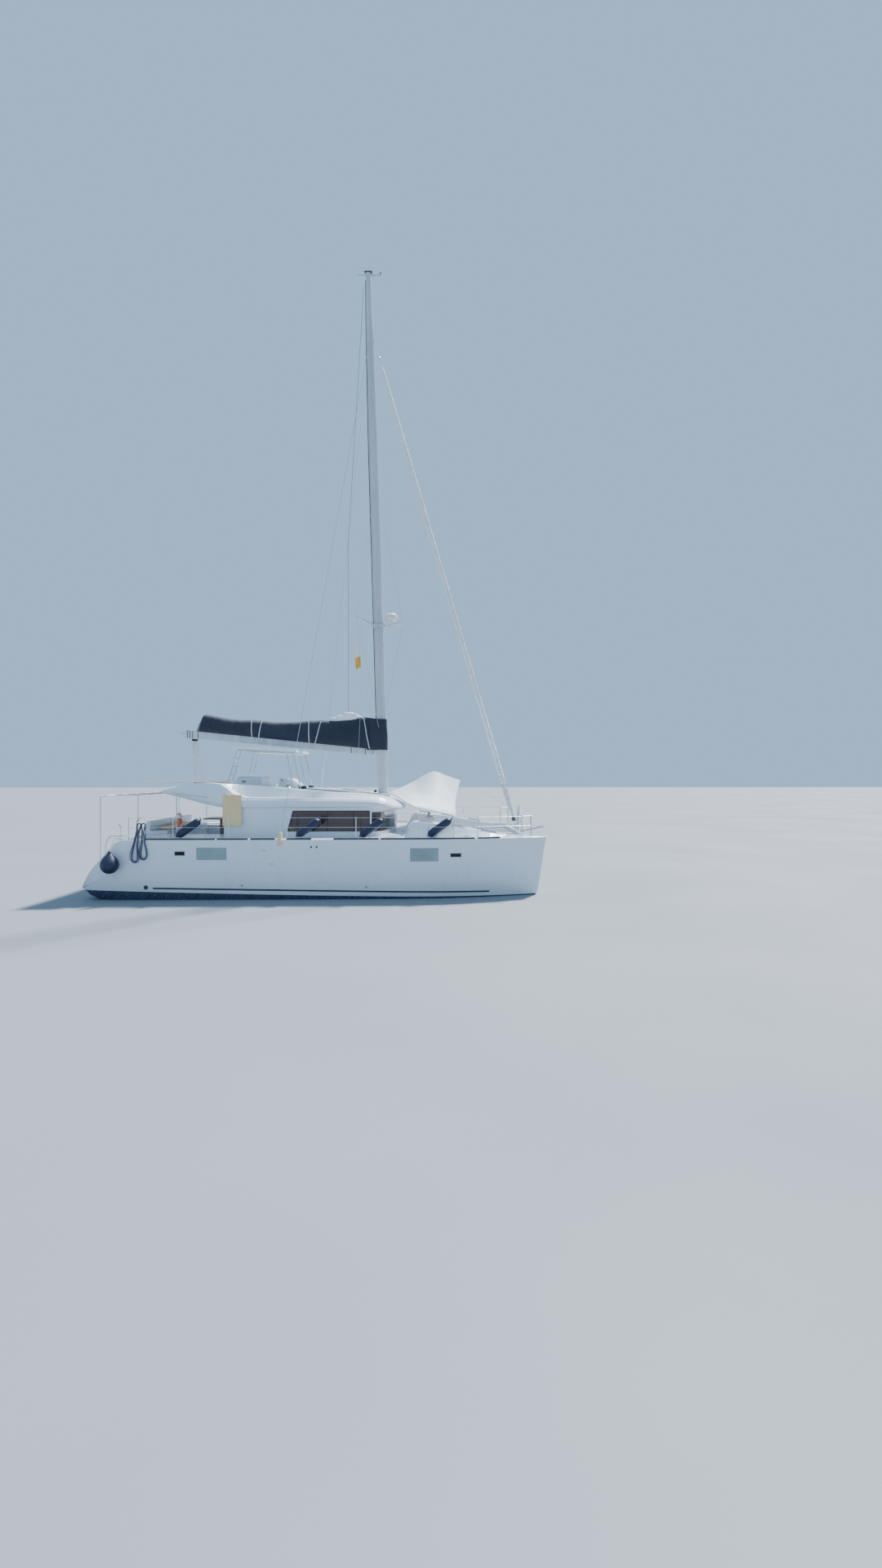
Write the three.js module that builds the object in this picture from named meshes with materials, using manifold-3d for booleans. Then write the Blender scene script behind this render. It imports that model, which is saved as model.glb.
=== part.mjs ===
// Cruising sailing catamaran with a flybridge, lying afloat with its sails stowed.
// Millimetres. +X points to the bow, +Y to port, +Z up. The origin is amidships, on the
// centreline, at the waterline. Both hulls come from one table, mirrored about the centreline.
import * as THREE from 'three';
import { mergeVertices } from 'three/addons/utils/BufferGeometryUtils.js';
import Module from 'manifold-3d';

const wasm = await Module();
wasm.setup();

// General sizes
const GAP = 0.3; // left between pieces that touch
const STARBOARD = -1;
const PORT = 1;
const SIDES = [['starboard', STARBOARD], ['port', PORT]];

// Hulls and decks
const HULL_CENTRE = 2950; // hull centreline from the boat's centreline
const INNER_WALL = 2100; // flat inner hull wall beside the bridgedeck
const KNUCKLE = 750; // underside of the bridgedeck
const KNUCKLE_OVER_BILGE = 20; // least height of the knuckle above the turn of the bilge
const DECK = 1780;
const SOLE = 1450; // saloon and cockpit floor
const BRIDGE_AFT = -5600;
const BRIDGE_FRONT = 3450;
const SEAT_TOP = 1880; // cockpit bench across the aft end
const SEAT_BACK = 2180;
// Side outline of the bridgedeck, x and z, with the sunk saloon and cockpit floor
const BRIDGEDECK_OUTLINE = [
  [BRIDGE_AFT, 900], [-5350, KNUCKLE], [2500, KNUCKLE], [3150, 960], [BRIDGE_FRONT, 1380],
  [BRIDGE_FRONT, 2165], [2750, 2230], [2450, DECK], [1750, DECK], [1750, SOLE], [-4950, SOLE],
  [-4950, SEAT_TOP], [-5480, SEAT_TOP], [-5480, SEAT_BACK], [BRIDGE_AFT, SEAT_BACK],
];
const BOTTOM_STEPS = 8; // facets of a hull's rounded bottom

// Widths are measured from the hull's own centreline, outer side positive.
// x, sheer height, deck height, outer and inner side, half beam and height of the bilge, keel line
const HULL_STATIONS = [
  { x: -6800, sheer: 400, top: 402, outer: 790, inner: -780, half: 700, bilge: 340, keel: 290 },
  { x: -6620, sheer: 750, top: 752, outer: 830, inner: -810, half: 720, bilge: 220, keel: 60 },
  { x: -6220, sheer: 1230, top: 1235, outer: 850, inner: -835, half: 735, bilge: 160, keel: -120 },
  { x: -5660, sheer: 1740, top: DECK, outer: 875, inner: -850, half: 755, bilge: 140, keel: -300 },
  { x: -4400, sheer: 1750, top: DECK, outer: 896, inner: -850, half: 780, bilge: 120, keel: -470 },
  { x: -2500, sheer: 1750, top: DECK, outer: 900, inner: -850, half: 792, bilge: 120, keel: -600 },
  { x: 0, sheer: 1750, top: DECK, outer: 900, inner: -850, half: 800, bilge: 120, keel: -650 },
  { x: 2450, sheer: 1750, top: DECK, outer: 900, inner: -850, half: 770, bilge: 120, keel: -620 },
  { x: 2750, sheer: 1750, top: 2230, outer: 895, inner: -850, half: 750, bilge: 120, keel: -605 },
  { x: 3500, sheer: 1750, top: 2160, outer: 872, inner: -850, half: 690, bilge: 120, keel: -570 },
  { x: 4800, sheer: 1750, top: 1940, outer: 700, inner: -600, half: 480, bilge: 130, keel: -480 },
  { x: 5600, sheer: 1750, top: 1815, outer: 455, inner: -400, half: 290, bilge: 150, keel: -390 },
  { x: 6200, sheer: 1750, top: 1780, outer: 245, inner: -225, half: 130, bilge: 200, keel: -270 },
  { x: 6430, sheer: 1748, top: 1768, outer: 160, inner: -150, half: 65, bilge: 280, keel: -120 },
  { x: 6560, sheer: 1746, top: 1760, outer: 108, inner: -104, half: 30, bilge: 380, keel: 110 },
  { x: 6800, sheer: 1742, top: 1750, outer: 24, inner: -24, half: 14, bilge: 1700, keel: 1670 },
];
const TRUNK_EDGE = 0.72; // share of the deck width where the raised deck ends
const SIDE_DECK_EDGE = 0.86;

// Transom steps, cut between the side wings: from, to, tread height
const STEPS = [
  { from: -6900, to: -6350, tread: 360 },
  { from: -6350, to: -6060, tread: 720 },
  { from: -6060, to: -5800, tread: 1080 },
  { from: -5800, to: -5560, tread: 1430 },
];
const STEP_INNER = -640;
const STEP_OUTER = 660;

// Engine bays under deck lids, on the inner side of each stern
const BAY = { aft: -5380, front: -4560, inner: -360, outer: 220, floor: 150 };
const LID_LAP = 60;
const LID_THICKNESS = 40;

// Deckhouse
const WALL = 60;
const HOUSE_SIDE = 2900;
const HOUSE_AFT = -2900;
const HOUSE_CORNER = 1500; // where the side walls meet the curved front
const HOUSE_FRONT = 2150;
const EAVE = 2620;
const WALL_TOP = 2660; // walls run up to here before the roof's underside trims them
const SIDE_WINDOW = { aftTop: -880, aftBottom: -1060, front: 1440, bottom: 1920, top: 2550 };
const FRONT_WINDOWS = [[-2050, -1120], [-1000, 1000], [1120, 2050]];
const GLASS = 10;
const BULKHEAD_WINDOW = { low: 600, high: 1800, bottom: 1950, top: 2480 };
// The saloon door hangs outside the bulkhead, laps its opening and slides on a rail to starboard
const DOOR = { low: -700, high: 300, bottom: 1500, top: 2480, thickness: 40, lap: 60, reach: 860 };
const DOOR_HANDLE = { inset: 90, width: 30, reach: 30, bottom: 1950, top: 2150 };
const GALLEY = [-2500, -600, -2000, -1400, SOLE - 10, 2330];
const SETTEE = [150, 1740, 300, 2000, SOLE - 10, 1900];

// Roof moulding, which is also the flybridge floor
// x, half width, underside, top of the outer edge, crown
const ROOF_STATIONS = [
  { x: -4850, half: 2900, under: 3100, edge: 3165, crown: 3175 },
  { x: -4700, half: 2960, under: 3060, edge: 3240, crown: 3250 },
  { x: -4240, half: 2985, under: 2950, edge: 3345, crown: 3360 },
  { x: -3560, half: 2990, under: 2760, edge: 3395, crown: 3400 },
  { x: -3060, half: 2990, under: 2660, edge: 3350, crown: 3375 },
  { x: -2700, half: 2990, under: EAVE, edge: 3080, crown: 3345 },
  { x: -2300, half: 2990, under: EAVE, edge: 2950, crown: 3310 },
  { x: -1350, half: 2990, under: EAVE, edge: 2935, crown: 3225 },
  { x: -350, half: 2990, under: EAVE, edge: 2920, crown: 3145 },
  { x: 800, half: 2990, under: EAVE, edge: 2900, crown: 3060 },
  { x: 1450, half: 2985, under: EAVE, edge: 2880, crown: 2990 },
  { x: 1700, half: 2950, under: 2610, edge: 2850, crown: 2945 },
  { x: 1900, half: 2830, under: 2590, edge: 2800, crown: 2890 },
  { x: 2080, half: 2550, under: 2570, edge: 2740, crown: 2820 },
  { x: 2240, half: 2050, under: 2550, edge: 2680, crown: 2740 },
  { x: 2380, half: 1350, under: 2530, edge: 2620, crown: 2650 },
  { x: 2440, half: 800, under: 2525, edge: 2600, crown: 2615 },
];
const WELL = { aft: -3900, front: -1050, half: 1150, floor: 2950 };
const MAST_STEP = { aft: 1440, front: 1930, half: 250, top: 3020 };
// Side outlines of the helm seat and the console, as x and height above the well's floor
const HELM_SEAT = {
  half: 780,
  outline: [
    [-2950, 0], [-2100, 0], [-2100, 390], [-2300, 400], [-2300, 590], [-3120, 600], [-3120, 400], [-2950, 400],
  ],
};
const CONSOLE = {
  half: 520,
  outline: [[-1760, 0], [-1770, 380], [-1600, 550], [-1350, 490], [-1180, 280], [-1150, 0]],
};
const WHEEL = { x: -1840, height: 330, radius: 285, rim: 14, hub: 20, spoke: 9, spokes: 5 };

// Hardtop over the flybridge
const HARDTOP = { aft: -3150, front: -1080, half: 1400, topAft: 4590, topFront: 4490, thick: 110 };
const LEG_TOP_Y = 1200;
const LEG_FOOT_Y = 1300;
const FRONT_LEGS = [{ top: -1400, foot: -1160 }, { top: -1190, foot: -910 }];
const AFT_LEGS = [{ top: -2990, foot: -3290 }, { top: -2850, foot: -3150 }];
const RUNGS = 3;

// Mast and rig. The mast leans aft by MAST_RAKE for each unit of height.
const MAST = { foot: 1690, chord: 170, half: 105, rake: 0.029, top: 21000 };
const MAST_TAPER = [
  { z: MAST_STEP.top + GAP, scale: 1 }, { z: 9700, scale: 0.95 }, { z: 15500, scale: 0.92 },
  { z: 19000, scale: 0.75 }, { z: MAST.top, scale: 0.5 },
];
const HOUNDS = 18700;
const CHAINPLATE = { x: -1100, y: 3760 };
const SPREADER_Z = 8760;
const SPREADER_TIP = { x: 840, y: 850, z: 8920 };
const JUMPER_TIP = { x: 2370, y: 260, z: 8850 };
const RADAR = { x: 1960, z: 8960, radius: 225, height: 250 };
const STAY_FOOT = { x: 6300, z: 1790 };
const STAY_SLOPE = 0.2922; // aft travel of the forestay for each unit of height

// Boom, hinged aft of the mast
const GOOSENECK = 1330;
const BOOM = { front: 1300, aft: -5060, half: 95, depth: 250, frontDepth: 200, under: 4320, rise: 0.093 };
// x, half width at the boom, height above the boom's underside
const BAG_STATIONS = [
  { x: -4720, half: 90, height: 560 },
  { x: -4560, half: 190, height: 860 },
  { x: -3400, half: 230, height: 800 },
  { x: -2200, half: 240, height: 830 },
  { x: -1000, half: 250, height: 960 },
  { x: 200, half: 255, height: 1120 },
  { x: 1180, half: 240, height: 1300 },
];

// Bow structure
const BEAM = { x: 6290, z: 1660, radius: 80 };
const STRIKER_TOP = { x: 6390, z: 2590 };
const STRIKER_FOOT_Y = 340;
const SPRIT_TIP = { x: 7230, z: 1860 };
const SPINE_HALF = 170;
const NET_Z = 1600;
const NET_THICKNESS = 12;

// Guardrails
const RAIL_TOP = 2390;
const RAIL_MIDDLE = 2100;
const RAIL_INSET = 110;
const STANCHION_RADIUS = 13;
const WIRE_RADIUS = 5;
const STANCHIONS = [4670, 3960, 2950, 1100, -900, -2600, -4200, -5480];
const RAIL_FACETS = 6;
const PULPIT = { aft: 6060, front: 6350, aftHalf: 165, frontHalf: 100 };

// Awnings, curtain and their poles
const CLOTH = 10;
const AFT_POLE = { x: -6430, y: 3400 };
const FORWARD_POLE = { x: -5360, y: 3340 };
const AWNING_AFT_Z = 3010;
const AWNING_FRONT = { x: -4865, y: 2900, z: 3120 };
const CURTAIN = { aft: -3020, front: -2400, bottom: 2100, top: 3030 };
// Foredeck awning: ridge points on the centreline, and the lower corners
const TENT = {
  aft: [1950, 0, 3040], apex: [3370, 0, 3750], front: [4360, 0, 3440],
  aftCorner: [2860, 2500, 2640], frontCorner: [4150, 1500, 2280],
};

// Underwater gear, measured from each hull's centreline
const KEEL = { aftTop: -1350, frontTop: 1550, aftFoot: -1050, frontFoot: 1150, half: 150, foot: -1300 };
const DRIVE = { x: -4740, z: -900, radius: 75, chord: 130, half: 45 };
const PROPELLER = { x: -5130, radius: 225, blades: 3 };
const RUDDER = { x: -5760, front: 125, aft: 400, half: 35, top: -360, foot: -1180, stock: 30 };
const STOCK_TOP = 60;
const ENGINE = { length: 700, width: 440, height: 560 };

// Loose gear on deck
const FENDER = { radius: 115, length: 640 };
const FENDERS_X = [-3790, -310, 1550, 3545]; // middle of each fender
const FENDER_LEAN = 0.72; // rise for each unit of length
const BALL = { x: -5890, z: 1063, radius: 255, squeeze: 34.7 };
const HANK = { aft: -5365, front: -4880, bottom: 1080, top: 2340, neck: 52 };
const ROOF_POST = { x: -4395, y: 2850, radius: 20 };
const BUOY = { ring: 210, radius: 56, z: 2213, turn: 12 };
const PLANK = { aft: -5740, front: -2890, y: -1950, width: 380, thick: 45 };

// Value of a table's column at x, on a smooth curve that never overshoots the table
function along(table, key, x) {
  const last = table.length - 1;
  const slope = (i) => (table[i + 1][key] - table[i][key]) / (table[i + 1].x - table[i].x);
  const tangent = (i) => {
    if (i === 0) return slope(0);
    if (i === last) return slope(last - 1);
    const before = slope(i - 1);
    const after = slope(i);
    return before * after <= 0 ? 0 : (2 * before * after) / (before + after);
  };
  let i = 0;
  while (i < last - 1 && x > table[i + 1].x) i += 1;
  const width = table[i + 1].x - table[i].x;
  const t = THREE.MathUtils.clamp((x - table[i].x) / width, 0, 1);
  const a = table[i][key];
  const b = table[i + 1][key];
  return (
    a * (1 + 2 * t) * (1 - t) ** 2 + tangent(i) * width * t * (1 - t) ** 2 +
    b * t * t * (3 - 2 * t) + tangent(i + 1) * width * t * t * (t - 1)
  );
}

// Cuts each interval of a table into parts, so that the loft is round
function sampleX(table, parts) {
  const xs = [];
  for (let i = 0; i < table.length - 1; i += 1) {
    const width = table[i + 1].x - table[i].x;
    const count = width > 250 ? parts : 1;
    for (let k = 0; k < count; k += 1) xs.push(table[i].x + (width * k) / count);
  }
  xs.push(table[table.length - 1].x);
  return xs;
}

function toSolid(geometry) {
  const plain = geometry.clone();
  for (const name of Object.keys(plain.attributes)) {
    if (name !== 'position') plain.deleteAttribute(name);
  }
  const merged = mergeVertices(plain, 1e-4);
  const vertProperties = new Float32Array(merged.attributes.position.array);
  const triVerts = new Uint32Array(merged.index.array);
  return new wasm.Manifold(new wasm.Mesh({ numProp: 3, vertProperties, triVerts }));
}

function toGeometry(solid) {
  const mesh = solid.getMesh();
  const geometry = new THREE.BufferGeometry();
  geometry.setAttribute('position', new THREE.BufferAttribute(mesh.vertProperties, 3));
  geometry.setIndex(new THREE.BufferAttribute(mesh.triVerts, 1));
  return geometry;
}

function box(x0, x1, y0, y1, z0, z1) {
  const geometry = new THREE.BoxGeometry(Math.abs(x1 - x0), Math.abs(y1 - y0), Math.abs(z1 - z0));
  return toSolid(geometry.translate((x0 + x1) / 2, (y0 + y1) / 2, (z0 + z1) / 2));
}

// Round bar between two points, which may taper
function rod(from, to, radius, endRadius = radius, sides = 8) {
  const a = new THREE.Vector3(...from);
  const b = new THREE.Vector3(...to);
  const geometry = new THREE.CylinderGeometry(endRadius, radius, a.distanceTo(b), sides);
  const up = new THREE.Vector3(0, 1, 0);
  const turn = new THREE.Quaternion().setFromUnitVectors(up, b.clone().sub(a).normalize());
  geometry.applyQuaternion(turn).translate((a.x + b.x) / 2, (a.y + b.y) / 2, (a.z + b.z) / 2);
  return toSolid(geometry);
}

// Bars through a list of points, with a ball at each joint
function bentBar(points, radius, sides = 8) {
  const pieces = [];
  for (let i = 0; i < points.length - 1; i += 1) {
    pieces.push(rod(points[i], points[i + 1], radius, radius, sides));
    if (i > 0) pieces.push(ball(points[i], radius * 1.02, 6));
  }
  return joined(pieces);
}

function ball(centre, radius, detail = 12) {
  const geometry = new THREE.SphereGeometry(radius, detail, Math.max(4, detail / 2));
  return toSolid(geometry.translate(...centre));
}

function joined(solids) {
  return solids.reduce((sum, next) => sum.add(next));
}

// Outline in X and Z, given as [x, z] pairs, extruded from y0 to y1
function plateXZ(outline, y0, y1) {
  const shape = new THREE.Shape(outline.map(([x, z]) => new THREE.Vector2(x, z)));
  const geometry = new THREE.ExtrudeGeometry(shape, { depth: y1 - y0, bevelEnabled: false });
  return toSolid(geometry.rotateX(Math.PI / 2).translate(0, y1, 0));
}

// Outline in Y and Z, extruded from x0 to x1
function plateYZ(outline, x0, x1) {
  const shape = new THREE.Shape(outline.map(([y, z]) => new THREE.Vector2(y, z)));
  const geometry = new THREE.ExtrudeGeometry(shape, { depth: x1 - x0, bevelEnabled: false });
  geometry.rotateX(Math.PI / 2).rotateZ(Math.PI / 2).translate(x0, 0, 0);
  return toSolid(geometry);
}

// Outline in X and Y, extruded from z0 to z1
function plateXY(outline, z0, z1) {
  const shape = new THREE.Shape(outline.map(([x, y]) => new THREE.Vector2(x, y)));
  const geometry = new THREE.ExtrudeGeometry(shape, { depth: z1 - z0, bevelEnabled: false });
  return toSolid(geometry.translate(0, 0, z0));
}

// Skin through rings of equal length, each end closed by faces that fan out from its middle
function loft(rings) {
  const count = rings[0].length;
  const positions = rings.flat().flat();
  const index = [];
  for (let i = 0; i < rings.length - 1; i += 1) {
    for (let j = 0; j < count; j += 1) {
      const a = i * count + j;
      const b = i * count + ((j + 1) % count);
      index.push(a, b, a + count, b, b + count, a + count);
    }
  }
  const middle = (ring) => [0, 1, 2].map((k) => ring.reduce((sum, p) => sum + p[k], 0) / count);
  const last = rings.length - 1;
  positions.push(...middle(rings[0]), ...middle(rings[last]));
  for (let j = 0; j < count; j += 1) {
    const next = (j + 1) % count;
    index.push(rings.length * count, next, j);
    index.push(rings.length * count + 1, last * count + j, last * count + next);
  }
  const geometry = new THREE.BufferGeometry();
  geometry.setAttribute('position', new THREE.Float32BufferAttribute(positions, 3));
  geometry.setIndex(index);
  return outward(geometry);
}

// Turns every face round when the enclosed volume comes out negative
function outward(geometry) {
  const position = geometry.attributes.position;
  const index = geometry.index.array;
  const [a, b, c] = [new THREE.Vector3(), new THREE.Vector3(), new THREE.Vector3()];
  let volume = 0;
  for (let i = 0; i < index.length; i += 3) {
    a.fromBufferAttribute(position, index[i]);
    b.fromBufferAttribute(position, index[i + 1]);
    c.fromBufferAttribute(position, index[i + 2]);
    volume += a.dot(b.cross(c));
  }
  if (volume < 0) {
    const turned = [];
    for (let i = 0; i < index.length; i += 3) turned.push(index[i], index[i + 2], index[i + 1]);
    geometry.setIndex(turned);
  }
  return toSolid(geometry);
}

function hullRing(x, side) {
  const s = {};
  for (const key of ['sheer', 'top', 'outer', 'inner', 'half', 'bilge', 'keel']) {
    s[key] = along(HULL_STATIONS, key, x);
  }
  const lowest = s.bilge + KNUCKLE_OVER_BILGE;
  const knuckle = Math.min(Math.max(KNUCKLE, lowest), s.bilge + 0.7 * (s.sheer - s.bilge));
  const points = [[s.outer, s.sheer], [(s.outer + s.half) / 2 + 15, (s.sheer + s.bilge) / 2]];
  for (let k = 0; k <= BOTTOM_STEPS; k += 1) {
    const angle = (Math.PI * k) / BOTTOM_STEPS;
    const width = Math.sign(Math.cos(angle)) * Math.abs(Math.cos(angle)) ** 0.8 * s.half;
    points.push([width, s.bilge - (s.bilge - s.keel) * Math.sin(angle) ** 0.9]);
  }
  points.push([s.inner, knuckle], [s.inner, s.top]);
  points.push([THREE.MathUtils.lerp(s.inner, s.outer, TRUNK_EDGE), s.top]);
  const sideDeck = Math.min(s.top, s.sheer + DECK - 1750);
  points.push([THREE.MathUtils.lerp(s.inner, s.outer, SIDE_DECK_EDGE), sideDeck]);
  return points.map(([t, z]) => [x, side * (HULL_CENTRE + t), z]);
}

const hullY = (side, t) => side * (HULL_CENTRE + t);

function sideBox(side, x0, x1, t0, t1, z0, z1) {
  return box(x0, x1, hullY(side, t0), hullY(side, t1), z0, z1);
}

function hullShell(side) {
  return loft(sampleX(HULL_STATIONS, 3).map((x) => hullRing(x, side)));
}

function hull(side) {
  let solid = hullShell(side);
  for (const { from, to, tread } of STEPS) {
    solid = solid.subtract(sideBox(side, from, to, STEP_INNER, STEP_OUTER, tread, 2500));
  }
  solid = solid.subtract(
    sideBox(side, BAY.aft, BAY.front, BAY.inner, BAY.outer, BAY.floor, 2500));
  const y = hullY(side, 0);
  return solid.subtract(rod([RUDDER.x, y, -900], [RUDDER.x, y, STOCK_TOP], 31, 31, 24));
}

const hulls = { [STARBOARD]: hull(STARBOARD), [PORT]: hull(PORT) };

// A carrier moved by the gap, for cutting the foot of what stands on it
const raised = (solid, dx, dy, dz) => solid.translate(dx * GAP, dy * GAP, dz * GAP);

function bridgedeck() {
  const half = INNER_WALL - GAP;
  return joined([plateXZ(BRIDGEDECK_OUTLINE, -half, half), box(...GALLEY), box(...SETTEE)]);
}

function roofRing(x) {
  const s = {};
  for (const key of ['half', 'under', 'edge', 'crown']) s[key] = along(ROOF_STATIONS, key, x);
  const depth = s.edge - s.under;
  const half = [
    [s.half - 90, s.under], [s.half - 20, s.under + 0.18 * depth], [s.half, s.under + 0.45 * depth],
    [s.half - 8, s.under + 0.75 * depth], [s.half - 70, s.edge], [0.79 * s.half, s.edge + 3],
    [0.73 * s.half, s.crown - 8], [0.4 * s.half, s.crown],
  ];
  const far = half.slice().reverse().map(([y, z]) => [-y, z]);
  return [...half, ...far].map(([y, z]) => [x, y, z]);
}

function roof() {
  const shell = loft(sampleX(ROOF_STATIONS, 2).map(roofRing));
  const well = box(WELL.aft, WELL.front, -WELL.half, WELL.half, WELL.floor, 3600);
  const step = box(MAST_STEP.aft, MAST_STEP.front, -MAST_STEP.half, MAST_STEP.half, 2750,
    MAST_STEP.top);
  return shell.add(step).subtract(well);
}

const roofSolid = roof();

// Trims a wall's top to the roof that it carries
const underRoof = (wall) => wall.subtract(raised(roofSolid, 0, 0, -1));

// Half outline of the deckhouse front, offset inward
function frontCurve(inset) {
  const side = HOUSE_SIDE - inset;
  const front = HOUSE_FRONT - inset;
  return [
    [HOUSE_CORNER + GAP, side], [1640 - inset * 0.3, side - 25], [1770 - inset * 0.6, side - 140],
    [1860 - inset, 2480 - inset * 0.5], [1990 - inset, 1800], [2105 - inset, 900], [front, 0],
  ];
}

function ringXY(outer, inner, z0, z1) {
  const far = (curve) => curve.slice(0, -1).reverse().map(([x, y]) => [x, -y]);
  const outside = [...outer, ...far(outer)];
  const inside = [...inner, ...far(inner)].reverse();
  return plateXY([...outside, ...inside], z0, z1);
}

function deckhouseFront() {
  let wall = ringXY(frontCurve(0), frontCurve(WALL), DECK + GAP, WALL_TOP);
  for (const [low, high] of FRONT_WINDOWS) {
    wall = wall.subtract(box(1760, 2500, low, high, 1960, 2480));
  }
  return underRoof(wall);
}

function frontGlass() {
  return ringXY(
    frontCurve(-GAP - GLASS), frontCurve(-GAP), SIDE_WINDOW.bottom, 2505);
}

function sideWindow(inset) {
  const w = SIDE_WINDOW;
  return [
    [w.aftBottom + inset, w.bottom + inset], [w.front - inset, w.bottom + inset],
    [w.front - inset, w.top - inset], [w.aftTop + inset, w.top - inset],
  ];
}

function deckhouseSide(side) {
  const [low, high] = [side * HOUSE_SIDE, side * (HOUSE_SIDE - WALL)].sort((a, b) => a - b);
  const wall = box(HOUSE_AFT, HOUSE_CORNER, low, high, DECK + GAP, WALL_TOP);
  return underRoof(wall.subtract(plateXZ(sideWindow(0), low - 10, high + 10)));
}

function sideGlass(side) {
  const face = side * (HOUSE_SIDE - 6);
  const [low, high] = [face, face - side * GLASS].sort((a, b) => a - b);
  return plateXZ(sideWindow(GAP), low, high);
}

function aftBulkhead() {
  const half = HOUSE_SIDE;
  const inner = INNER_WALL - GAP * 2;
  const outline = [
    [-half, DECK + GAP], [-inner, DECK + GAP], [-inner, SOLE + GAP], [inner, SOLE + GAP],
    [inner, DECK + GAP], [half, DECK + GAP], [half, WALL_TOP], [-half, WALL_TOP],
  ];
  const front = HOUSE_AFT - GAP;
  const wall = plateYZ(outline, front - WALL, front);
  const through = (low, high, bottom, top) => box(
    front - WALL - 10, front + 10, low, high, bottom, top);
  const opening = through(DOOR.low + DOOR.lap, DOOR.high - DOOR.lap,
    DOOR.bottom + DOOR.lap / 2, DOOR.top - DOOR.lap / 2);
  const pane = BULKHEAD_WINDOW;
  const window = through(pane.low, pane.high, pane.bottom, pane.top);
  const rail = box(front - WALL - 60, front - WALL + 1, DOOR.low - DOOR.reach, DOOR.high + 20,
    SOLE + 20, DOOR.bottom - GAP);
  return underRoof(wall.subtract(opening).subtract(window)).add(rail);
}

function saloonDoor() {
  const face = HOUSE_AFT - GAP - WALL - 5;
  const leaf = box(face - DOOR.thickness, face, DOOR.low, DOOR.high, DOOR.bottom, DOOR.top);
  const h = DOOR_HANDLE;
  const outside = face - DOOR.thickness;
  const handle = box(outside - h.reach, outside + 1, DOOR.high - h.inset,
    DOOR.high - h.inset + h.width, h.bottom, h.top);
  return leaf.add(handle);
}

// A side outline stood on the floor of the flybridge well
const onWellFloor = ({ outline, half }) => plateXZ(
  outline.map(([x, z]) => [x, WELL.floor + (z || GAP)]), -half, half);

const wheelZ = WELL.floor + WHEEL.height;

function helmConsole() {
  const bore = rod([-1900, 0, wheelZ], [-1700, 0, wheelZ], WHEEL.hub + 1, WHEEL.hub + 1, 16);
  return onWellFloor(CONSOLE).subtract(bore);
}

function helmWheel() {
  const { x, radius, rim, hub, spoke, spokes } = WHEEL;
  const ring = new THREE.TorusGeometry(radius, rim, 6, 24);
  const pieces = [toSolid(ring.rotateY(Math.PI / 2).translate(x, 0, wheelZ))];
  pieces.push(rod([x - 30, 0, wheelZ], [-1700 - GAP, 0, wheelZ], hub, hub, 16));
  for (let k = 0; k < spokes; k += 1) {
    const angle = (2 * Math.PI * k) / spokes;
    const tip = [x, radius * Math.sin(angle), wheelZ + radius * Math.cos(angle)];
    pieces.push(rod([x, 0, wheelZ], tip, spoke, spoke, 6));
  }
  return joined(pieces);
}

const hardtopTop = (x) => THREE.MathUtils.mapLinear(
  x, HARDTOP.aft, HARDTOP.front, HARDTOP.topAft, HARDTOP.topFront);

function hardtop() {
  const corner = 130;
  const h = HARDTOP;
  const outline = [];
  const corners = [
    [h.front - corner, h.half - corner, 0], [h.aft + corner, h.half - corner, 90],
    [h.aft + corner, corner - h.half, 180], [h.front - corner, corner - h.half, 270],
  ];
  for (const [x, y, start] of corners) {
    for (let k = 0; k <= 3; k += 1) {
      const angle = THREE.MathUtils.degToRad(start + 30 * k);
      outline.push([x + corner * Math.cos(angle), y + corner * Math.sin(angle)]);
    }
  }
  const blank = plateXY(outline, 4000, 5000);
  const profile = [
    [h.aft, h.topAft - h.thick], [h.front, h.topFront - h.thick],
    [h.front, h.topFront - 20], [(h.aft + h.front) / 2, hardtopTop((h.aft + h.front) / 2)],
    [h.aft, h.topAft - 20],
  ];
  return blank.intersect(plateXZ(profile, -h.half - 10, h.half + 10));
}

function hardtopFrame(hardtopSolid) {
  const pieces = [];
  const railZ = (x) => hardtopTop(x) - HARDTOP.thick - 18;
  const reach = [AFT_LEGS[0].top, FRONT_LEGS[1].top];
  for (const side of [STARBOARD, PORT]) {
    const y = side * LEG_TOP_Y;
    const foot = side * LEG_FOOT_Y;
    pieces.push(rod([reach[0], y, railZ(reach[0])], [reach[1], y, railZ(reach[1])], 22, 22, 6));
    for (const leg of [...FRONT_LEGS, ...AFT_LEGS]) {
      const ground = along(ROOF_STATIONS, 'crown', leg.foot) - 40;
      pieces.push(rod([leg.foot, foot, ground], [leg.top, y, railZ(leg.top)], 20, 20, 6));
    }
    for (let k = 1; k <= RUNGS; k += 1) {
      const share = k / (RUNGS + 1);
      const ends = AFT_LEGS.map((leg) => [
        THREE.MathUtils.lerp(leg.foot, leg.top, share),
        THREE.MathUtils.lerp(foot, y, share),
        THREE.MathUtils.lerp(along(ROOF_STATIONS, 'crown', leg.foot), railZ(leg.top), share),
      ]);
      pieces.push(rod(ends[0], ends[1], 12, 12, 6));
    }
  }
  for (const x of reach) {
    pieces.push(rod([x, -LEG_TOP_Y, railZ(x)], [x, LEG_TOP_Y, railZ(x)], 22, 22, 6));
  }
  const frame = joined(pieces).subtract(raised(roofSolid, 0, 0, 1));
  return frame.subtract(raised(hardtopSolid, 0, 0, -1));
}

const mastX = (z) => MAST.foot - MAST.rake * (z - MAST_STEP.top);

// Elliptical rings of the mast at the given heights, widened by grow
function mastRings(levels, grow) {
  const facets = 20;
  return levels.map((z) => Array.from({ length: facets }, (_, k) => {
    const angle = (2 * Math.PI * k) / facets;
    const scale = mastScale(z);
    return [mastX(z) + (MAST.chord * scale + grow) * Math.cos(angle),
      (MAST.half * scale + grow) * Math.sin(angle), z];
  }));
}

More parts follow.
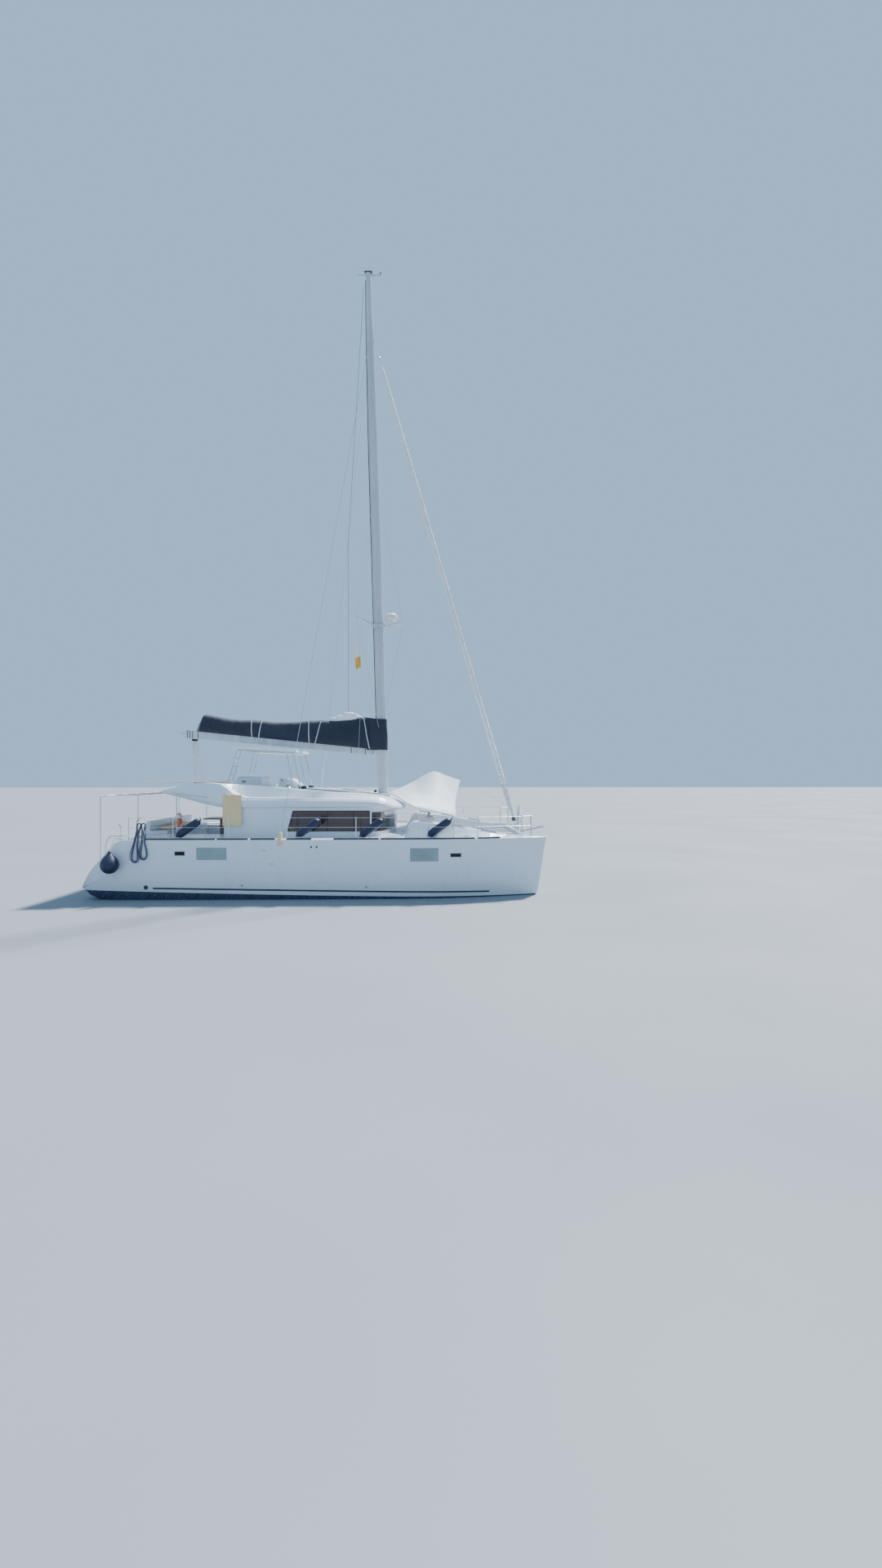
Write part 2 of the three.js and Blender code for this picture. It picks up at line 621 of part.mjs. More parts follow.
function mastScale(z) {
  const next = Math.max(1, MAST_TAPER.findIndex((level) => level.z >= z));
  const [low, high] = [MAST_TAPER[next - 1], MAST_TAPER[next]];
  return THREE.MathUtils.mapLinear(z, low.z, high.z, low.scale, high.scale);
}

const mast = () => loft(mastRings(MAST_TAPER.map(({ z }) => z), 0));

const mastSolid = mast();

function spreaders() {
  const pieces = [];
  const root = mastX(SPREADER_Z);
  for (const side of [STARBOARD, PORT]) {
    const tip = [SPREADER_TIP.x, side * SPREADER_TIP.y, SPREADER_TIP.z];
    pieces.push(rod([root - 40, 0, SPREADER_Z], tip, 32, 22));
    pieces.push(rod([root + 60, 0, SPREADER_Z], [JUMPER_TIP.x, side * JUMPER_TIP.y, JUMPER_TIP.z], 24, 20));
  }
  pieces.push(rod([JUMPER_TIP.x, -JUMPER_TIP.y - 40, JUMPER_TIP.z],
    [JUMPER_TIP.x, JUMPER_TIP.y + 40, JUMPER_TIP.z], 18));
  pieces.push(box(root - 230, root + 230, -150, 150, SPREADER_Z - 55, SPREADER_Z + 55));
  return joined(pieces).subtract(grownMast(SPREADER_Z));
}

// The mast widened by the gap near one height, for fittings that wrap it
const grownMast = (z) => loft(mastRings([z - 700, z, z + 700], GAP));

function radarDome() {
  const r = RADAR.radius;
  const profile = [
    [0, 0], [0.8 * r, 0], [0.97 * r, 0.2 * r], [r, 0.45 * r], [0.93 * r, 0.8 * r],
    [0.65 * r, 1.05 * r], [0, RADAR.height],
  ].map(([x, z]) => new THREE.Vector2(x, z));
  const dome = new THREE.LatheGeometry(profile, 24).rotateX(Math.PI / 2);
  const bracket = box(mastX(RADAR.z) + 60, RADAR.x, -70, 70, RADAR.z - 35, RADAR.z + 5);
  const arm = rod([mastX(RADAR.z), 0, RADAR.z - 12], [RADAR.x + 60, 0, RADAR.z - 12], 30);
  const placed = outward(dome.translate(RADAR.x, 0, RADAR.z));
  return joined([placed, bracket, arm]).subtract(grownMast(RADAR.z));
}

const boomUnder = (x) => BOOM.under + BOOM.rise * (GOOSENECK - x);
const boomTop = (x) => boomUnder(x) + THREE.MathUtils.mapLinear(
  x, BOOM.aft, BOOM.front, BOOM.depth, BOOM.frontDepth);

function boom() {
  const { front, aft, half, depth } = BOOM;
  const outline = [
    [front, boomUnder(front)], [aft, boomUnder(aft)], [aft, boomTop(aft)],
    [front, boomTop(front)],
  ];
  const beam = plateXZ(outline, -half, half);
  const tipZ = boomUnder(aft) + depth / 2;
  const tip = box(aft - 150, aft + 10, -50, 50, tipZ - 50, tipZ + 60);
  const eyeZ = boomUnder(GOOSENECK) + depth / 2;
  const eye = rod([GOOSENECK + 10, 0, eyeZ - 70], [GOOSENECK + 10, 0, eyeZ + 70], 60, 60, 16);
  const hole = rod([GOOSENECK + 10, 0, eyeZ - 80], [GOOSENECK + 10, 0, eyeZ + 80], 21, 21, 16);
  return joined([beam, tip, eye]).subtract(hole);
}

// Fitting on the mast that carries the boom's pin
function gooseneck() {
  const z = boomUnder(GOOSENECK) + BOOM.depth / 2;
  const x = GOOSENECK + 10;
  const pin = rod([x, 0, z - 100], [x, 0, z + 100], 20, 20, 16);
  const lugs = [z - 95, z + 76].map((low) => box(x - 22, x + 260, -25, 25, low, low + 19));
  return joined([pin, ...lugs]).subtract(grownMast(z));
}

function sailBag() {
  const rings = sampleX(BAG_STATIONS, 2).map((x) => {
    const half = along(BAG_STATIONS, 'half', x);
    const low = boomTop(x) + GAP;
    const high = boomUnder(x) + along(BAG_STATIONS, 'height', x);
    const section = [
      [half * 0.75, low], [half, low + 0.25 * (high - low)], [half * 0.8, low + 0.7 * (high - low)],
      [half * 0.3, high],
    ];
    const far = section.slice().reverse().map(([y, z]) => [-y, z]);
    return [...section, ...far].map(([y, z]) => [x, y, z]);
  });
  return loft(rings);
}

function headsail() {
  const at = (z) => [STAY_FOOT.x - STAY_SLOPE * (z - STAY_FOOT.z), 0, z];
  const pieces = [
    rod(at(1700), at(2300), 16), rod(at(2060), at(2170), 95, 95, 16),
    rod(at(2230), at(2700), 50, 85, 12), rod(at(2698), at(10000), 85, 80, 12),
    rod(at(9998), at(17600), 80, 48, 12), rod(at(17590), at(18990), 14),
  ];
  return joined(pieces).subtract(raised(mastSolid, 1, 0, 0));
}

function shroud(side) {
  const foot = [CHAINPLATE.x, side * CHAINPLATE.y, 1780];
  const top = [mastX(HOUNDS), side * 40, HOUNDS];
  const plate = box(foot[0] - 45, foot[0] + 45, foot[1] - 15, foot[1] + 15, 1700, 1900);
  const wire = rod([foot[0], foot[1], 1850], top, 8, 8, 6);
  const cut = joined([plate, wire]).subtract(raised(hulls[side], 0, 0, 1));
  return cut.subtract(raised(mastSolid, 0, side, 0));
}

function crossbeam() {
  const { x, z, radius } = BEAM;
  const pieces = [rod([x, -2950, z], [x, 2950, z], radius, radius, 16)];
  const top = [STRIKER_TOP.x, 0, STRIKER_TOP.z];
  for (const side of [STARBOARD, PORT]) {
    pieces.push(rod([x + 20, side * STRIKER_FOOT_Y, z], top, 24));
    pieces.push(rod([x, side * 2500, z + 40], top, 8, 8, 6));
  }
  pieces.push(ball(top, 34));
  pieces.push(rod([x, 0, z], [SPRIT_TIP.x, 0, SPRIT_TIP.z], 42, 36, 12));
  pieces.push(box(BRIDGE_FRONT + GAP, x, -SPINE_HALF, SPINE_HALF, z - 150, z - 30));
  let solid = joined(pieces);
  for (const side of [STARBOARD, PORT]) solid = solid.subtract(raised(hulls[side], 0, -side, 0));
  return solid.subtract(headsailSeat());
}

// Clearance for the forestay's lower end, where it stands on the crossbeam
function headsailSeat() {
  const at = (z) => [STAY_FOOT.x - STAY_SLOPE * (z - STAY_FOOT.z), 0, z];
  return rod(at(1690), at(2400), 16 + GAP * 1.5, 16 + GAP * 1.5, 8);
}

function trampoline(side) {
  const edge = side * (SPINE_HALF + GAP);
  const [low, high] = [edge, side * 2900].sort((a, b) => a - b);
  const net = box(BRIDGE_FRONT + GAP, BEAM.x - BEAM.radius - GAP, low, high,
    NET_Z, NET_Z + NET_THICKNESS);
  return net.subtract(raised(hulls[side], 0, -side, 0));
}

const railY = (x) => along(HULL_STATIONS, 'outer', x) - RAIL_INSET;

// The wires run straight between stanchions, a little inside the curve of the deck edge
function wireY(x) {
  const next = STANCHIONS.findIndex((post) => post < x);
  const [front, aft] = [STANCHIONS[next - 1], STANCHIONS[next]];
  return THREE.MathUtils.mapLinear(x, aft, front, railY(aft), railY(front));
}

function guardrail(side) {
  const at = (x, t, z) => [x, hullY(side, t), z];
  const post = (x, t, z) => rod(at(x, t, 1600), at(x, t, z), STANCHION_RADIUS, STANCHION_RADIUS, RAIL_FACETS);
  const pieces = [];
  const { aft, front, aftHalf, frontHalf } = PULPIT;
  const corners = [[aft, -aftHalf], [front, -frontHalf], [front, frontHalf], [aft, aftHalf]];
  const thin = 0.75 * STANCHION_RADIUS;
  pieces.push(bentBar(corners.map(([x, t]) => at(x, t, RAIL_TOP)), STANCHION_RADIUS, RAIL_FACETS));
  pieces.push(bentBar(corners.map(([x, t]) => at(x, t, RAIL_MIDDLE)), thin, RAIL_FACETS));
  for (const [x, t] of corners.slice(0, 3)) pieces.push(post(x, t, RAIL_TOP + 6));
  const posts = [[aft, aftHalf], ...STANCHIONS.map((x) => [x, railY(x)])];
  for (const [x, t] of posts) pieces.push(post(x, t, RAIL_TOP + 10));
  for (const z of [RAIL_TOP - 8, RAIL_MIDDLE]) {
    for (let i = 0; i < posts.length - 1; i += 1) {
      pieces.push(rod(at(...posts[i], z), at(...posts[i + 1], z), WIRE_RADIUS, WIRE_RADIUS, 6));
    }
  }
  return joined(pieces).subtract(raised(hulls[side], 0, 0, 1));
}

function sternAwning() {
  const plan = [
    [AWNING_FRONT.x, AWNING_FRONT.y], [FORWARD_POLE.x, FORWARD_POLE.y + 40],
    [AFT_POLE.x - 30, AFT_POLE.y + 40],
  ];
  const outline = [...plan, ...plan.slice().reverse().map(([x, y]) => [x, -y])];
  const rise = (AWNING_FRONT.z - AWNING_AFT_Z) / (AWNING_FRONT.x - AFT_POLE.x);
  const z = (x) => AWNING_AFT_Z + rise * (x - AFT_POLE.x);
  const ends = [AFT_POLE.x - 100, AWNING_FRONT.x + 50];
  const profile = [
    [ends[0], z(ends[0])], [ends[1], z(ends[1])], [ends[1], z(ends[1]) + CLOTH],
    [ends[0], z(ends[0]) + CLOTH],
  ];
  return plateXY(outline, 2900, 3300).intersect(plateXZ(profile, -3600, 3600));
}

function awningFrame(side, cloth) {
  const rise = (AWNING_FRONT.z - AWNING_AFT_Z) / (AWNING_FRONT.x - AFT_POLE.x);
  const z = (x) => AWNING_AFT_Z + rise * (x - AFT_POLE.x) - 11;
  const top = [AFT_POLE, FORWARD_POLE].map(({ x, y }) => [x, side * y, z(x)]);
  const pieces = [
    bentBar([[AFT_POLE.x, side * AFT_POLE.y, 300], top[0], top[1],
      [FORWARD_POLE.x, side * FORWARD_POLE.y, 1600]], 14),
  ];
  return joined(pieces).subtract(raised(hulls[side], 0, 0, 1)).subtract(raised(cloth, 0, 0, -1));
}

// Tent-shaped sheet: each face is a triangle between the ridge and the lower corners
function foredeckAwning() {
  const mirror = ([x, y, z]) => [x, -y, z];
  const t = TENT;
  const points = [
    t.aft, t.apex, t.front, t.frontCorner, t.aftCorner, mirror(t.frontCorner), mirror(t.aftCorner),
  ];
  const faces = [[0, 4, 1], [1, 4, 3], [1, 3, 2], [0, 1, 6], [1, 5, 6], [1, 2, 5]];
  const rim = [0, 6, 5, 2, 3, 4];
  const n = points.length;
  const positions = [...points, ...points.map(([x, y, z]) => [x, y, z + CLOTH])].flat();
  const index = [];
  for (const [a, b, c] of faces) index.push(a, b, c, a + n, c + n, b + n);
  rim.forEach((a, i) => {
    const b = rim[(i + 1) % rim.length];
    index.push(a, b, a + n, b, b + n, a + n);
  });
  const geometry = new THREE.BufferGeometry();
  geometry.setAttribute('position', new THREE.Float32BufferAttribute(positions, 3));
  geometry.setIndex(index);
  const pieces = [outward(geometry)];
  const railX = STANCHIONS[0];
  for (const side of [STARBOARD, PORT]) {
    const corner = [t.frontCorner[0], side * t.frontCorner[1], t.frontCorner[2] + CLOTH / 2];
    const end = [railX, hullY(side, railY(railX) - STANCHION_RADIUS - GAP), RAIL_TOP - 30];
    pieces.push(rod(corner, end, 6, 6, 6));
  }
  return joined(pieces);
}

function sideCurtain() {
  const face = -(ROOF_STATIONS[5].half + GAP);
  return box(CURTAIN.aft, CURTAIN.front, face - 12, face, CURTAIN.bottom, CURTAIN.top);
}

// Upright foil section: rounded nose forward, thin tail aft
function foilRing(xAft, xFront, y, half, z) {
  const ring = [];
  const chord = xFront - xAft;
  const stations = [[0, 0.02], [0.15, 0.35], [0.4, 0.8], [0.65, 1], [0.85, 0.8], [0.96, 0.42], [1, 0.02]];
  for (const [share, width] of stations) ring.push([xAft + chord * share, y + half * width, z]);
  for (const [share, width] of stations.slice().reverse()) {
    ring.push([xAft + chord * share, y - half * width, z]);
  }
  return ring;
}

function keel(side) {
  const y = hullY(side, 0);
  const fin = loft([
    foilRing(KEEL.aftTop, KEEL.frontTop, y, KEEL.half, -400),
    foilRing(KEEL.aftFoot, KEEL.frontFoot, y, KEEL.half * 0.85, KEEL.foot),
  ]);
  return fin.subtract(raised(hullShell(side), 0, 0, -1));
}

function saildrive(side) {
  const y = hullY(side, 0);
  const leg = loft([
    foilRing(DRIVE.x - DRIVE.chord, DRIVE.x + DRIVE.chord, y, DRIVE.half, -300),
    foilRing(DRIVE.x - DRIVE.chord, DRIVE.x + DRIVE.chord, y, DRIVE.half, DRIVE.z),
  ]);
  const skeg = loft([
    foilRing(DRIVE.x - 60, DRIVE.x + 90, y, 18, DRIVE.z),
    foilRing(DRIVE.x - 40, DRIVE.x + 40, y, 12, DRIVE.z - 160),
  ]);
  const aft = PROPELLER.x + 75;
  const pod = rod([aft, y, DRIVE.z], [DRIVE.x + 120, y, DRIVE.z], 60, DRIVE.radius, 16);
  const nose = rod([DRIVE.x + 118, y, DRIVE.z], [DRIVE.x + 240, y, DRIVE.z], DRIVE.radius, 25, 16);
  const bore = rod([aft - 10, y, DRIVE.z], [aft + 70, y, DRIVE.z], 19, 19, 16);
  return joined([leg, skeg, pod, nose]).subtract(bore).subtract(raised(hullShell(side), 0, 0, -1));
}

function propeller(side) {
  const y = hullY(side, 0);
  const { x, radius, blades } = PROPELLER;
  const pieces = [
    rod([x - 60, y, DRIVE.z], [x + 68, y, DRIVE.z], 50, 56, 16),
    rod([x - 120, y, DRIVE.z], [x - 58, y, DRIVE.z], 18, 50, 16),
    rod([x + 60, y, DRIVE.z], [x + 140, y, DRIVE.z], 18, 18, 16),
  ];
  for (let k = 0; k < blades; k += 1) {
    const outline = new THREE.Shape();
    outline.moveTo(-30, 30);
    outline.bezierCurveTo(-120, 90, -100, radius, 0, radius);
    outline.bezierCurveTo(110, radius, 100, 80, 30, 30);
    const blade = new THREE.ExtrudeGeometry(outline, { depth: 12, bevelEnabled: false, curveSegments: 6 });
    blade.translate(0, 0, -6).rotateY(THREE.MathUtils.degToRad(side * 35)).rotateY(Math.PI / 2);
    blade.rotateX((2 * Math.PI * k) / blades + Math.PI / 2).translate(x, y, DRIVE.z);
    pieces.push(toSolid(blade));
  }
  return joined(pieces);
}

function rudder(side) {
  const y = hullY(side, 0);
  const blade = loft([
    foilRing(RUDDER.x - RUDDER.aft, RUDDER.x + RUDDER.front, y, RUDDER.half, RUDDER.top),
    foilRing(RUDDER.x - RUDDER.aft * 0.8, RUDDER.x + RUDDER.front * 0.7, y, RUDDER.half * 0.7, RUDDER.foot),
  ]);
  const stock = rod([RUDDER.x, y, RUDDER.top - 400], [RUDDER.x, y, STOCK_TOP - GAP], RUDDER.stock,
    RUDDER.stock, 16);
  return blade.add(stock);
}

function engine(side) {
  const middleX = (BAY.aft + BAY.front) / 2;
  const middleT = (BAY.inner + BAY.outer) / 2;
  const floor = BAY.floor + GAP;
  return sideBox(side, middleX - ENGINE.length / 2, middleX + ENGINE.length / 2,
    middleT - ENGINE.width / 2, middleT + ENGINE.width / 2, floor, floor + ENGINE.height);
}

function engineHatch(side) {
  return sideBox(side, BAY.aft - LID_LAP, BAY.front + LID_LAP, BAY.inner - LID_LAP,
    BAY.outer + LID_LAP, DECK + GAP, DECK + GAP + LID_THICKNESS);
}

function fender(x) {
  const lean = Math.atan(FENDER_LEAN);
  const shape = new THREE.CapsuleGeometry(FENDER.radius, FENDER.length, 4, 12);
  shape.rotateX(Math.PI / 2).rotateY(Math.PI / 2 - lean);
  const rise = (FENDER.length / 2) * Math.sin(lean);
  const z = DECK - 4 + FENDER.radius + rise;
  const inward = STANCHION_RADIUS + GAP + FENDER.radius;
  const y = -(HULL_CENTRE + Math.min(wireY(x - 380), wireY(x + 380)) - inward);
  return toSolid(shape.translate(x, y, z)).subtract(raised(hulls[STARBOARD], 0, 0, 1));
}

function ballFender() {
  const r = BALL.radius;
  const profile = [[0, -r]];
  for (let k = 1; k < 8; k += 1) {
    const angle = -Math.PI / 2 + (Math.PI * 0.75 * k) / 8;
    profile.push([r * Math.cos(angle), r * Math.sin(angle)]);
  }
  profile.push([0.42 * r, 0.98 * r], [0.2 * r, 1.3 * r], [0.2 * r, 1.5 * r], [0, 1.5 * r]);
  const shape = new THREE.LatheGeometry(profile.map(([x, z]) => new THREE.Vector2(x, z)), 20);
  const y = -(HULL_CENTRE + along(HULL_STATIONS, 'outer', BALL.x) + r - BALL.squeeze);
  const solid = outward(shape.rotateX(Math.PI / 2).translate(BALL.x, y, BALL.z));
  return solid.subtract(raised(hullShell(STARBOARD), 0, -1, 0));
}

function ropeHank() {
  const { aft, front, bottom, top, neck } = HANK;
  const middle = (aft + front) / 2;
  const half = (front - aft) / 2;
  const hung = middle + neck;
  const outline = [];
  for (let k = 0; k <= 8; k += 1) {
    const angle = Math.PI + (Math.PI * k) / 8;
    outline.push([middle + half * Math.cos(angle), bottom + half + half * Math.sin(angle)]);
  }
  outline.push([hung + 0.6 * half, top - 100], [hung + 0.3 * half, top]);
  outline.push([hung - 0.3 * half, top], [hung - 0.6 * half, top - 100]);
  const solid = plateXZ(outline, -3935, -3790);
  return solid.subtract(raised(hullShell(STARBOARD), 0, -1, 0));
}

function roofPost(side) {
  const y = side * ROOF_POST.y;
  const post = rod([ROOF_POST.x, y, 1600], [ROOF_POST.x, y, 3200], ROOF_POST.radius, ROOF_POST.radius, 12);
  return post.subtract(raised(hulls[side], 0, 0, 1)).subtract(raised(roofSolid, 0, 0, -1));
}

function lifebuoy() {
  const ring = new THREE.TorusGeometry(BUOY.ring, BUOY.radius, 8, 20).rotateY(Math.PI / 2);
  const turn = (BUOY.turn * Math.PI) / 180;
  ring.rotateZ(turn);
  const x = ROOF_POST.x + (ROOF_POST.radius + GAP + BUOY.radius) / Math.cos(turn);
  return toSolid(ring.translate(x, -ROOF_POST.y, BUOY.z));
}

function gangplank() {
  const { aft, front, y, width, thick } = PLANK;
  const low = along(ROOF_STATIONS, 'crown', -3560) - 5;
  const plank = box(aft, front, y - width / 2, y + width / 2, low, low + thick);
  return plank.subtract(raised(roofSolid, 0, 0, 1));
}

function cockpitTable() {
  const top = box(-4350, -3350, -400, 500, 2130, 2170);
  const leg = box(-3900, -3780, -10, 110, SOLE + GAP, 2140);
  return top.add(leg);
}

// Materials: colour, roughness, metalness
const LOOKS = {
  gelcoat: [0xeef2f6, 0.25, 0], nonskid: [0xdfe4e8, 0.8, 0], tinted: [0x2a1f22, 0.08, 0],
  spar: [0xc9ced3, 0.4, 0.6], steel: [0xd5d9dc, 0.2, 1], canvas: [0x1b2036, 0.9, 0],
  cloth: [0xf4f4f2, 0.85, 0], tan: [0xcbb58e, 0.9, 0], net: [0xe2e4e4, 0.9, 0],
  antifoul: [0x4a5f78, 0.8, 0], bronze: [0x9a7a3e, 0.35, 1], engine: [0x5d666c, 0.6, 0.3],
  fender: [0x1d2740, 0.5, 0], rope: [0x333b4c, 0.9, 0], orange: [0xe2521c, 0.6, 0],
  alloy: [0xaeb4b8, 0.35, 0.9], wood: [0xb08e62, 0.6, 0],
};

const boat = new THREE.Group();

function place(name, solid, look) {
  const [color, roughness, metalness] = LOOKS[look];
  const material = new THREE.MeshStandardMaterial({ color, roughness, metalness });
  const mesh = new THREE.Mesh(toGeometry(solid), material);
  mesh.name = name;
  boat.add(mesh);
}

function placePair(name, make, look) {
  for (const [word, side] of SIDES) place(`${name}_${word}`, make(side), look);
}

const hardtopSolid = hardtop();
const awningSolid = sternAwning();

place('hull_starboard', hulls[STARBOARD], 'gelcoat');
place('hull_port', hulls[PORT], 'gelcoat');
place('bridgedeck', bridgedeck(), 'gelcoat');
placePair('deckhouse_side', deckhouseSide, 'gelcoat');
place('deckhouse_front', deckhouseFront(), 'gelcoat');
place('aft_bulkhead', aftBulkhead(), 'gelcoat');
place('saloon_door', saloonDoor(), 'tinted');
placePair('side_glass', sideGlass, 'tinted');
place('front_glass', frontGlass(), 'tinted');
place('roof', roofSolid, 'gelcoat');
place('helm_seat', onWellFloor(HELM_SEAT), 'gelcoat');
place('helm_console', helmConsole(), 'gelcoat');
place('helm_wheel', helmWheel(), 'steel');
place('hardtop', hardtopSolid, 'gelcoat');
place('hardtop_frame', hardtopFrame(hardtopSolid), 'steel');
place('mast', mastSolid, 'spar');
place('gooseneck', gooseneck(), 'spar');
place('spreaders', spreaders(), 'spar');
place('radar_dome', radarDome(), 'gelcoat');
place('boom', boom(), 'spar');
place('sail_bag', sailBag(), 'canvas');
place('headsail', headsail(), 'cloth');
placePair('shroud', shroud, 'steel');
place('crossbeam', crossbeam(), 'spar');
placePair('trampoline', trampoline, 'net');
placePair('guardrail', guardrail, 'steel');
place('stern_awning', awningSolid, 'cloth');
placePair('awning_frame', (side) => awningFrame(side, awningSolid), 'steel');
place('foredeck_awning', foredeckAwning(), 'cloth');
place('side_curtain', sideCurtain(), 'tan');
placePair('keel', keel, 'antifoul');
placePair('saildrive', saildrive, 'alloy');
placePair('propeller', propeller, 'bronze');
placePair('rudder', rudder, 'antifoul');
placePair('engine', engine, 'engine');
placePair('engine_hatch', engineHatch, 'nonskid');
FENDERS_X.forEach((x, i) => place(`fender_${i + 1}`, fender(x), 'fender'));
place('ball_fender', ballFender(), 'fender');
place('rope_hank', ropeHank(), 'rope');
placePair('roof_post', roofPost, 'steel');
place('lifebuoy', lifebuoy(), 'orange');
place('gangplank', gangplank(), 'wood');
place('cockpit_table', cockpitTable(), 'wood');

export default boat;
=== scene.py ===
"""Looks of a cruising catamaran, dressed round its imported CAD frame.

Metres. +X points to the bow, +Y to port, +Z up. The waterline is at Z = 0.
"""
import math

import bpy
from mathutils import Matrix, Vector, noise
from mathutils.bvhtree import BVHTree


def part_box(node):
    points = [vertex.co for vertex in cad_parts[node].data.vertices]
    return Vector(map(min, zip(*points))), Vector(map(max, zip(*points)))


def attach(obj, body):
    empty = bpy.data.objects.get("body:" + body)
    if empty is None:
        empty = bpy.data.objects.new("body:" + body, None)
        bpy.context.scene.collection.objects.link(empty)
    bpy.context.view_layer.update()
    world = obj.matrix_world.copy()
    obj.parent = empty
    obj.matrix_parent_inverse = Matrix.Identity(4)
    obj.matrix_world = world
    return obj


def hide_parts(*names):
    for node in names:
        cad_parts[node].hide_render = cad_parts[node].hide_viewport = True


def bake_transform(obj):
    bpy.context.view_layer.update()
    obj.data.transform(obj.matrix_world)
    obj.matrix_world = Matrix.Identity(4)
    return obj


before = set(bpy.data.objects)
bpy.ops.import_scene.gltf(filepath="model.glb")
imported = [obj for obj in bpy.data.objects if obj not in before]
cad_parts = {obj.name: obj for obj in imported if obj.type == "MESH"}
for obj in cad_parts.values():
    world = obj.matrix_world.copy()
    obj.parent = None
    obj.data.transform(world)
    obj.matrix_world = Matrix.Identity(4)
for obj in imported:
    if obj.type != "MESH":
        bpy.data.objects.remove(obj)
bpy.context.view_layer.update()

bl_info = {
    "name": "Cruising Catamaran",
    "version": (1, 0, 0),
    "blender": (4, 5, 0),
    "location": "3D View > Sidebar > Catamaran",
    "description": "Dresses the packed catamaran with trim, rigging, soft goods and finishes",
    "category": "Object",
}

HULL_MIDDLE = 2.95  # hull centreline from the boat's centreline
HULL_HALF = 0.9
SIDES = (("starboard", -1), ("port", 1))
DECK = 1.78
HOUSE_SIDE = 2.90
MAST_STEP_TOP = 3.02
MAST_FOOT_X = 1.69
MAST_RAKE = 0.029  # aft for each metre up
GOOSENECK = (1.33, 4.32)  # x, z
BOOM_RISE = 0.093  # up for each metre aft
BOOM_ENDS = (-5.06, 1.30)
BOOM_DEPTHS = (0.25, 0.20)  # at those ends
STAY_FOOT = (6.3, 1.79)  # x, z
STAY_SLOPE = 0.2922  # aft for each metre up
RAIL_TOP = 2.39
RAIL_MIDDLE = 2.10
NET_TOP = 1.606
BEYOND = 9  # further out than the hulls and higher than the roof
AHEAD, TO_PORT, UP = Vector((1, 0, 0)), Vector((0, 1, 0)), Vector((0, 0, 1))


# Sizes and colours that a user would change

class CatamaranColours(bpy.types.PropertyGroup):
    gelcoat: bpy.props.FloatVectorProperty(
        name="Gelcoat", description="White of the hulls, deckhouse and roof",
        subtype="COLOR", min=0, max=1, default=(0.76, 0.82, 0.88))
    grip: bpy.props.FloatVectorProperty(
        name="Deck grip", description="Non-slip panels on the decks",
        subtype="COLOR", min=0, max=1, default=(0.66, 0.69, 0.71))
    antifoul: bpy.props.FloatVectorProperty(
        name="Bottom paint", description="Paint of the underbody",
        subtype="COLOR", min=0, max=1, default=(0.030, 0.048, 0.085))
    stripe: bpy.props.FloatVectorProperty(
        name="Stripe", description="Thin stripe above the waterline and the toe rails",
        subtype="COLOR", min=0, max=1, default=(0.028, 0.036, 0.055))
    canvas: bpy.props.FloatVectorProperty(
        name="Canvas", description="Navy canvas of the sail bag",
        subtype="COLOR", min=0, max=1, default=(0.010, 0.013, 0.030))
    cloth: bpy.props.FloatVectorProperty(
        name="Awning cloth", description="White cloth of the awnings and sails",
        subtype="COLOR", min=0, max=1, default=(0.86, 0.88, 0.91))
    curtain: bpy.props.FloatVectorProperty(
        name="Curtain", description="Tan cloth of the side curtain",
        subtype="COLOR", min=0, max=1, default=(0.92, 0.64, 0.36))
    hull_window: bpy.props.FloatVectorProperty(
        name="Hull windows", description="Grey-green glass let into the topsides",
        subtype="COLOR", min=0, max=1, default=(0.24, 0.33, 0.35))
    fender: bpy.props.FloatVectorProperty(
        name="Fenders", description="Vinyl of the fenders",
        subtype="COLOR", min=0, max=1, default=(0.012, 0.018, 0.05))
    buoy: bpy.props.FloatVectorProperty(
        name="Lifebuoy", description="Orange of the lifebuoy",
        subtype="COLOR", min=0, max=1, default=(0.85, 0.16, 0.04))


class CatamaranSizes(bpy.types.PropertyGroup):
    stripe_width: bpy.props.FloatProperty(
        name="Stripe width", description="Height of the thin dark stripe on the topsides",
        unit="LENGTH", min=0.01, max=0.2, default=0.05)
    toe_rail: bpy.props.FloatProperty(
        name="Toe rail height", description="Height of the dark rail along the deck edge",
        unit="LENGTH", min=0.01, max=0.1, default=0.045)
    net_cell: bpy.props.FloatProperty(
        name="Net cell", description="Width of one mesh of the bow nets",
        unit="LENGTH", min=0.03, max=0.2, default=0.055)
    line_radius: bpy.props.FloatProperty(
        name="Line radius", description="Radius of the headsail's sheets",
        unit="LENGTH", min=0.002, max=0.02, default=0.006)
    strap_width: bpy.props.FloatProperty(
        name="Strap width", description="Width of the webbing straps on the sail bag",
        unit="LENGTH", min=0.01, max=0.1, default=0.03)
    cushion_swell: bpy.props.FloatProperty(
        name="Cushion swell", description="Most that a cushion's skin may swell",
        unit="LENGTH", min=0.0, max=0.05, default=0.018)


def colours():
    return bpy.context.scene.catamaran_colours


def sizes():
    return bpy.context.scene.catamaran_sizes


# Modelling helpers

def pick(*objects):
    """Selects only these objects. The first is the active one."""
    bpy.ops.object.select_all(action="DESELECT")
    for o in objects:
        o.select_set(True)
    bpy.context.view_layer.objects.active = objects[0]


def fresh(name):
    """Names the object that an operator has just added."""
    o = bpy.context.object
    o.name = name
    o.data.name = name
    return o


def settle(o):
    """Moves the object's place into its mesh."""
    pick(o)
    bpy.ops.object.transform_apply(location=True, rotation=True, scale=True)
    return o


def smooth(o, degrees=40):
    pick(o)
    bpy.ops.object.shade_smooth_by_angle(angle=math.radians(degrees))
    return o


def shaped_by(o, kind, **settings):
    """Adds a modifier and applies it."""
    modifier = o.modifiers.new(kind.title(), kind)
    for key, value in settings.items():
        setattr(modifier, key, value)
    pick(o)
    bpy.ops.object.modifier_apply(modifier=modifier.name)
    return o


